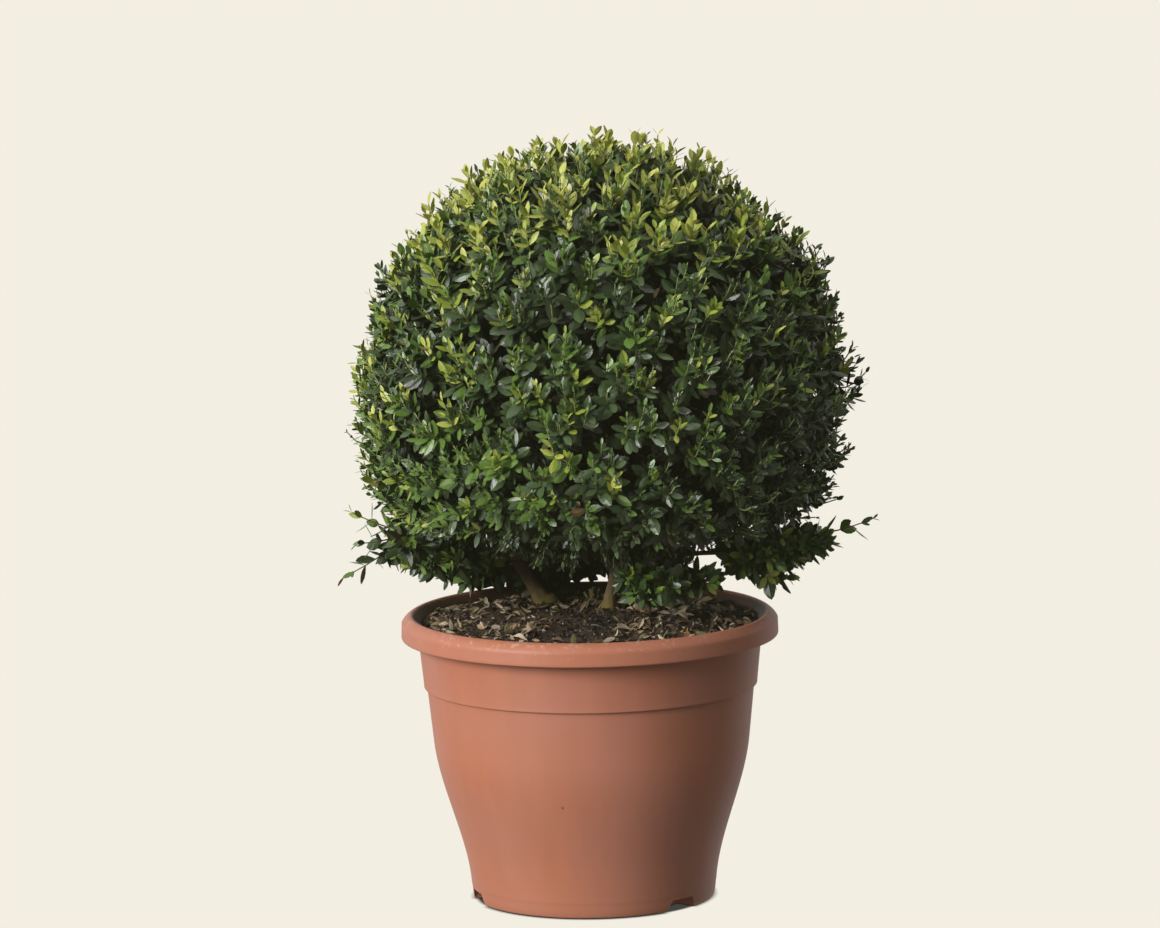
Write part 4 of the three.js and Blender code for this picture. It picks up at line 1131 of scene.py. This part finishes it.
def build_crown(crown, colours):
    """The clipped ball, grown on from the upright boughs in four orders.

    Boughs run from the nearest upright bough to half the reach, branches from the nearest bough
    to two thirds, and shoots from the nearest branch to the outline, where they stand up. Other
    shoots end further in, and their leaves close the ball. Some of the outer shoots have small
    leaves, show their green bark and stick out a little.
    """
    rng = np.random.default_rng(41)
    bark = made_once("box_bark", bark_material, colours, colours.bark)
    green = made_once("green_shoot", plain_material, colours.green_twig, 0.55)
    uprights = np.array([place_about(*BOUGHS[name]["end"]) for name in UPRIGHTS])

    def far_ends(count, wood):
        """Directions and far ends of limbs, spread evenly with some scatter."""
        towards = unit(evenly(count) + rng.normal(0, wood["scatter"], (count, 3)))
        return towards, CROWN_CENTRE + towards * (crown_reach(crown, towards) * wood["reach"])[:, None]

    def put_wood(name, starts, bends, ends, wood):
        """A piece of tapering limbs in the crown's place."""
        lines = bent_lines(starts, bends, ends, wood["steps"])
        radii = np.linspace(*wood["radii"], wood["steps"] + 1)
        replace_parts(tube_piece(name, lines, radii, wood["sides"], bark), "crown")

    _, bough_ends = far_ends(crown.boughs, WOOD["boughs"])
    flat = [1, 1, 0.2]
    starts = uprights[nearest(bough_ends * flat, uprights * flat)]
    bends = starts * 0.5 + bough_ends * 0.5 + [0, 0, 28]
    put_wood("crown_boughs", starts, bends, bough_ends, WOOD["boughs"])

    branch_towards, branch_ends = far_ends(crown.branches, WOOD["branches"])
    starts = bough_ends[nearest(branch_ends, bough_ends)]
    bends = starts * 0.55 + branch_ends * 0.45 + rng.normal(0, 9, branch_ends.shape)
    put_wood("crown_branches", starts, bends, branch_ends, WOOD["branches"])

    materials = leaf_materials(colours)
    slimness = crown.leaf_width / crown.leaf_length
    counts = (crown.shoots, crown.inner_shoots, crown.deep_shoots)
    for count, (name, layer) in zip(counts, LAYERS.items()):
        depth, pieces = layer["depth"], layer["pieces"]
        lines, towards, bare = crown_shoots(crown, count, layer, (branch_towards, branch_ends), rng)
        radii = np.linspace(1.15, 0.7, layer["steps"] + 1)
        shoots = tube_piece("crown_shoots_" + name, lines, radii, 3, bark if depth else green)
        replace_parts(shoots, "crown")
        vigour, tipness = crown_tones(crown, towards, rng)
        if depth:
            vigour, tipness = vigour - 0.12 - 0.5 * depth, tipness * 0.3
        lengths = crown.leaf_length * (0.84 + 0.16 * smooth(-0.1, 0.5, towards[:, 2]))
        lengths = lengths * rng.uniform(0.88, 1.1, count) * np.where(bare, 0.6, 1)
        points, tone = shoot_leaves(lines, vigour, tipness, lengths, slimness, layer["pairs"], rng)
        tints = deal_tints(tone, rng)
        for part in range(pieces):
            leaves = (points[part::pieces], tints[part::pieces])
            piece = leaf_piece(f"crown_leaves_{name}_{part + 1}", leaves, materials)
            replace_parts(piece, "crown")


# ------------------------------------------------------------------ low foliage


# Each loose mass: its stem runs from its bough to its end. Fan is the angle of the side twigs to
# that stem, tilt is their elevation, and strays are the far ends of longer shoots. Ends are a
# radius and azimuth about the crown's axis and a level.
LOOSE = {
    "low_foliage_left": {
        "bough": "bough_left_low", "end": (198, 178, 374), "twigs": 28, "length": 46, "fan": (10, 110),
        "tilt": (0, 54), "seed": 21, "vigour": 0.34,
        "strays": ((245, 182, 362), (261, 176, 324), (250, 180, 392)),
    },
    "low_foliage_right": {
        "bough": "bough_right_low", "end": (204, -2, 366), "twigs": 24, "length": 42, "fan": (10, 110),
        "tilt": (-24, 50), "seed": 22, "vigour": 0.36, "strays": ((270, -4, 380),),
    },
    "low_foliage_back": {
        "bough": "bough_back_low", "end": (172, 92, 322), "twigs": 44, "length": 92, "fan": (30, 115),
        # a low vigour gives the back mass dark tints: painted shade behind the stems
        "tilt": (-24, 16), "seed": 23, "vigour": 0.16, "strays": (),
    },
    "low_foliage_front": {
        "bough": "bough_front_low", "end": (112, -40, 336), "twigs": 13, "length": 36, "fan": (15, 100),
        "tilt": (-18, 40), "seed": 24, "vigour": 0.34, "strays": (),
    },
    "low_foliage_middle": {
        "bough": "bough_middle_low", "end": (182, 132, 308), "twigs": 14, "length": 46, "fan": (20, 100),
        "tilt": (-20, 30), "seed": 25, "vigour": 0.3, "strays": ((102, 120, 300),),
    },
}
LOOSE_TWIG = {
    "sag": 0.08,  # share of its length
    "onward": 0.4,  # share of its length that a mass's stem aims straight on from the bough
    "stray_from": 0.95,  # along the stem
    "shortest": 0.7,  # the shortest side twig, as a share of the longest
}
# Finer twigs stand at these places along each twig, and to these sides of it.
FINER = ((0.35, 1), (0.55, -1), (0.75, 1))
# Pairs of leaves on a mass's stem, strays and other twigs, the scale of the leaves, and added vigour.
LOOSE_LEAVES = {"stem": (9, 1.0, 0), "strays": (6, 1.05, 0.2), "twigs": (5, 0.95, 0)}


def sagging(start, end):
    """The three points of a quadratic curve that sags a little between two points."""
    middle = (start + end) / 2 - LOOSE_TWIG["sag"] * np.linalg.norm(end - start) * UP
    return np.array([start, middle, end])


def on_curve(curve, t):
    """The point at t on a quadratic curve of three points."""
    return (1 - t) ** 2 * curve[0] + 2 * t * (1 - t) * curve[1] + t ** 2 * curve[2]


def loose_curves(mass):
    """Stem, strays and side twigs of a loose mass, then finer twigs on its stem and side twigs."""
    rng = np.random.default_rng(mass["seed"])
    bough = BOUGHS[mass["bough"]]
    start = bough_line(bough, 1.0)
    tangent = unit(start - bough_line(bough, 0.97))
    end = place_about(*mass["end"])
    stem = np.array([start, start + LOOSE_TWIG["onward"] * np.linalg.norm(end - start) * tangent, end])
    outwards = stem[2] - stem[0]
    heading = math.degrees(math.atan2(outwards[1], outwards[0]))
    fork = on_curve(stem, LOOSE_TWIG["stray_from"])
    strays = [sagging(fork, place_about(*spot)) for spot in mass["strays"]]
    twigs = []
    for place in range(mass["twigs"]):
        root = on_curve(stem, (place + 0.8) / (mass["twigs"] + 1.2))
        side = 1 if place % 2 == 0 else -1
        towards = direction(heading + side * rng.uniform(*mass["fan"]), rng.uniform(*mass["tilt"]))
        shorter = (1 - LOOSE_TWIG["shortest"]) * rng.random()
        twigs.append(sagging(root, root + towards * mass["length"] * (1 - shorter)))
    finer = []
    for curve in [stem, *twigs]:
        run = curve[2] - curve[0]
        turn = math.degrees(math.atan2(run[1], run[0]))
        for share, side in FINER:
            root = on_curve(curve, share)
            towards = direction(turn + side * (35 + 25 * rng.random()), -22 + 44 * rng.random())
            finer.append(sagging(root, root + towards * np.linalg.norm(run) * 0.5))
    return np.array([stem, *strays, *twigs, *finer])


def build_low_foliage(crown, colours):
    """The loose masses, leafy twig by leafy twig. Leaves that would dip into the soil are lost."""
    materials = leaf_materials(colours)
    bark = made_once("box_bark", bark_material, colours, colours.bark)
    slimness = crown.leaf_width / crown.leaf_length
    for name, mass in LOOSE.items():
        rng = np.random.default_rng(mass["seed"] + 100)
        curves = loose_curves(mass)
        lines = bent_lines(curves[:, 0], curves[:, 1], curves[:, 2], 6)
        thick = np.where(np.arange(len(curves)) == 0, 1.7, 1.0)[:, None]
        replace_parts(tube_piece(name + "_twigs", lines, thick * np.linspace(1, 0.5, 7), 5, bark), name)
        first = 1 + len(mass["strays"])
        parts = []
        for group, (pairs, scale, extra) in zip((lines[:1], lines[1:first], lines[first:]),
                                                LOOSE_LEAVES.values()):
            if not len(group):
                continue
            vigour = mass["vigour"] + extra + rng.normal(0, 0.1, len(group))
            tipness = 0.06 + np.abs(rng.normal(0, 0.12, len(group)))
            lengths = np.full(len(group), crown.leaf_length * scale)
            parts.append(shoot_leaves(group, vigour, tipness, lengths, slimness, pairs, rng))
        points, tone = (np.concatenate(each) for each in zip(*parts))
        keep = points[..., 2].min(1) > SOIL_TOP + 1
        leaves = (points[keep], deal_tints(tone[keep], rng, 0.002))
        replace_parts(leaf_piece(name + "_leaves", leaves, materials), name)


# ------------------------------------------------------------------ stage


# Azimuth and elevation that each sun shines from, and its width, in degrees.
SUNS = {"key": (-140, 21, 32), "top": (-110, 68, 70), "back": (90, 12, 120)}
CAMERA = {"place": (0, -7.0, 1.508), "aim": (-0.007, 0, 0.437), "roll": -1.0}  # metres and degrees
PLANT_MIDDLE = Vector((0, 0, 0.4))


def add_sun(name, azimuth, elevation, width, strength):
    """A sun that shines at the plant's middle, drawn 4 metres away."""
    data = bpy.data.lights.new(name, "SUN")
    data.energy = strength
    data.angle = math.radians(width)
    light = bpy.data.objects.new(name, data)
    light.location = Vector(direction(azimuth, elevation) * 4.0) + PLANT_MIDDLE
    light.rotation_euler = (PLANT_MIDDLE - light.location).to_track_quat("-Z", "Y").to_euler()
    bpy.context.scene.collection.objects.link(light)


def paper_material(name, stage):
    """Evenly lit pale paper with a painted contact shadow close to what stands on it, and painted shade
    under the pot.
    """
    material, tree, surface = new_material(name)
    surface.inputs["Base Color"].default_value = (0, 0, 0, 1)
    surface.inputs["Roughness"].default_value = 1.0
    surface.inputs["Specular IOR Level"].default_value = 0.0
    contact = add_node(tree, "AmbientOcclusion", {
        "samples": 12, "Color": (*stage.paper, 1), "Distance": 5 * MM,
    })
    tree.links.new(contact, surface.inputs["Emission Color"])
    where = add_node(tree, "TexCoord", out="Object")
    radius = add_node(tree, "VectorMath", {"operation": "LENGTH"}, in0=where)
    # the light fades under the pot, over the 5 mm inside its foot's edge
    open_air = add_node(tree, "MapRange", {
        "From Min": 116 * MM, "From Max": 121 * MM, "To Min": 0.06, "To Max": 1.01,
    }, Value=radius)
    tree.links.new(open_air, surface.inputs["Emission Strength"])
    return material


def build_stage(stage):
    """A pale floor in a pale dome, soft lights from the left, above and behind, and the camera."""
    paper = made_once("pale_paper", paper_material, stage)
    bpy.ops.mesh.primitive_circle_add(vertices=96, radius=30, fill_type="NGON", location=(0, 0, -0.0008))
    floor = bpy.context.object
    bpy.ops.mesh.primitive_uv_sphere_add(segments=64, ring_count=32, radius=29.9)
    dome = bpy.context.object
    for name, part in (("floor", floor), ("backdrop", dome)):
        part.name = name
        part.data.materials.append(paper)
        part.visible_diffuse = part.visible_glossy = part.visible_shadow = False
    scene = bpy.context.scene
    scene.world = bpy.data.worlds.new("studio")
    scene.world.use_nodes = True
    background = scene.world.node_tree.nodes["Background"]
    background.inputs["Color"].default_value = (1.0, 0.98, 0.95, 1)
    background.inputs["Strength"].default_value = stage.fill
    scene.view_settings.view_transform = "Standard"
    # the bright backdrop's trace of veiling glare, which lifts the deepest shadows a little
    scene.view_settings.use_curve_mapping = True
    scene.view_settings.curve_mapping.black_level = (-0.007, -0.007, -0.004)
    for name, (azimuth, elevation, width) in SUNS.items():
        add_sun(name, azimuth, elevation, width, getattr(stage, name))
    data = bpy.data.cameras.new("camera")
    data.lens = stage.lens
    data.clip_end = 100
    camera = bpy.data.objects.new("camera", data)
    camera.location = CAMERA["place"]
    aim = (Vector(CAMERA["aim"]) - camera.location).to_track_quat("-Z", "Y")
    camera.rotation_mode = "QUATERNION"
    camera.rotation_quaternion = aim @ Quaternion((0, 0, 1), math.radians(CAMERA["roll"]))
    scene.collection.objects.link(camera)
    scene.camera = camera


# ------------------------------------------------------------------ operators and panel


class BOXBALL_OT_pot(bpy.types.Operator):
    """Turn the plant pot with its lip, collar, belly and drain notches"""

    bl_idname = "boxball.pot"
    bl_label = "Pot"

    def execute(self, context):
        build_pot(context.scene.boxball_pot)
        return {"FINISHED"}


class BOXBALL_OT_soil(bpy.types.Operator):
    """Fill the pot with soil, with crumbs, fallen leaves and chips on it"""

    bl_idname = "boxball.soil"
    bl_label = "Soil and litter"

    def execute(self, context):
        soil = context.scene.boxball_soil
        build_soil(soil)
        build_crumbs(soil)
        build_litter(soil)
        return {"FINISHED"}


class BOXBALL_OT_limbs(bpy.types.Operator):
    """Clothe the stems, boughs and cut stubs in bark"""

    bl_idname = "boxball.limbs"
    bl_label = "Stems and boughs"

    def execute(self, context):
        build_limbs(context.scene.boxball_leaves)
        build_cut_stubs(context.scene.boxball_leaves)
        return {"FINISHED"}


class BOXBALL_OT_crown(bpy.types.Operator):
    """Grow the clipped ball from its boughs to its leaves"""

    bl_idname = "boxball.crown"
    bl_label = "Clipped ball"

    def execute(self, context):
        build_crown(context.scene.boxball_crown, context.scene.boxball_leaves)
        return {"FINISHED"}


class BOXBALL_OT_low_foliage(bpy.types.Operator):
    """Grow the loose leafy twigs under and beside the ball"""

    bl_idname = "boxball.low_foliage"
    bl_label = "Low foliage"

    def execute(self, context):
        build_low_foliage(context.scene.boxball_crown, context.scene.boxball_leaves)
        return {"FINISHED"}


class BOXBALL_OT_stage(bpy.types.Operator):
    """Set up the pale floor, the studio light and the camera"""

    bl_idname = "boxball.stage"
    bl_label = "Stage"

    def execute(self, context):
        build_stage(context.scene.boxball_stage)
        return {"FINISHED"}


OPERATORS = (BOXBALL_OT_stage, BOXBALL_OT_pot, BOXBALL_OT_soil, BOXBALL_OT_limbs,
             BOXBALL_OT_crown, BOXBALL_OT_low_foliage)
SETTINGS = {"boxball_pot": BOXBALL_PG_pot, "boxball_soil": BOXBALL_PG_soil,
            "boxball_crown": BOXBALL_PG_crown, "boxball_leaves": BOXBALL_PG_leaves,
            "boxball_stage": BOXBALL_PG_stage}


class BOXBALL_PT_panel(bpy.types.Panel):
    """The box ball's pieces and settings in the sidebar"""

    bl_label = "Box Ball"
    bl_space_type = "VIEW_3D"
    bl_region_type = "UI"
    bl_category = "Box Ball"

    def draw(self, context):
        for operator in OPERATORS:
            self.layout.operator(operator.bl_idname)
        for key, group in SETTINGS.items():
            box = self.layout.box()
            for name in group.__annotations__:
                box.prop(getattr(context.scene, key), name)


def register():
    """Registers the settings, operators and panel, and hangs the settings on the scene."""
    for group in SETTINGS.values():
        bpy.utils.register_class(group)
    for operator in OPERATORS:
        bpy.utils.register_class(operator)
    bpy.utils.register_class(BOXBALL_PT_panel)
    for key, group in SETTINGS.items():
        setattr(bpy.types.Scene, key, PointerProperty(type=group))


def unregister():
    """Takes back what register did."""
    for key in SETTINGS:
        delattr(bpy.types.Scene, key)
    bpy.utils.unregister_class(BOXBALL_PT_panel)
    for kind in (*OPERATORS, *SETTINGS.values()):
        bpy.utils.unregister_class(kind)


def main():
    register()
    bpy.ops.boxball.stage()
    bpy.ops.boxball.pot()
    bpy.ops.boxball.soil()
    bpy.ops.boxball.limbs()
    bpy.ops.boxball.crown()
    bpy.ops.boxball.low_foliage()


if __name__ == "__main__":
    main()
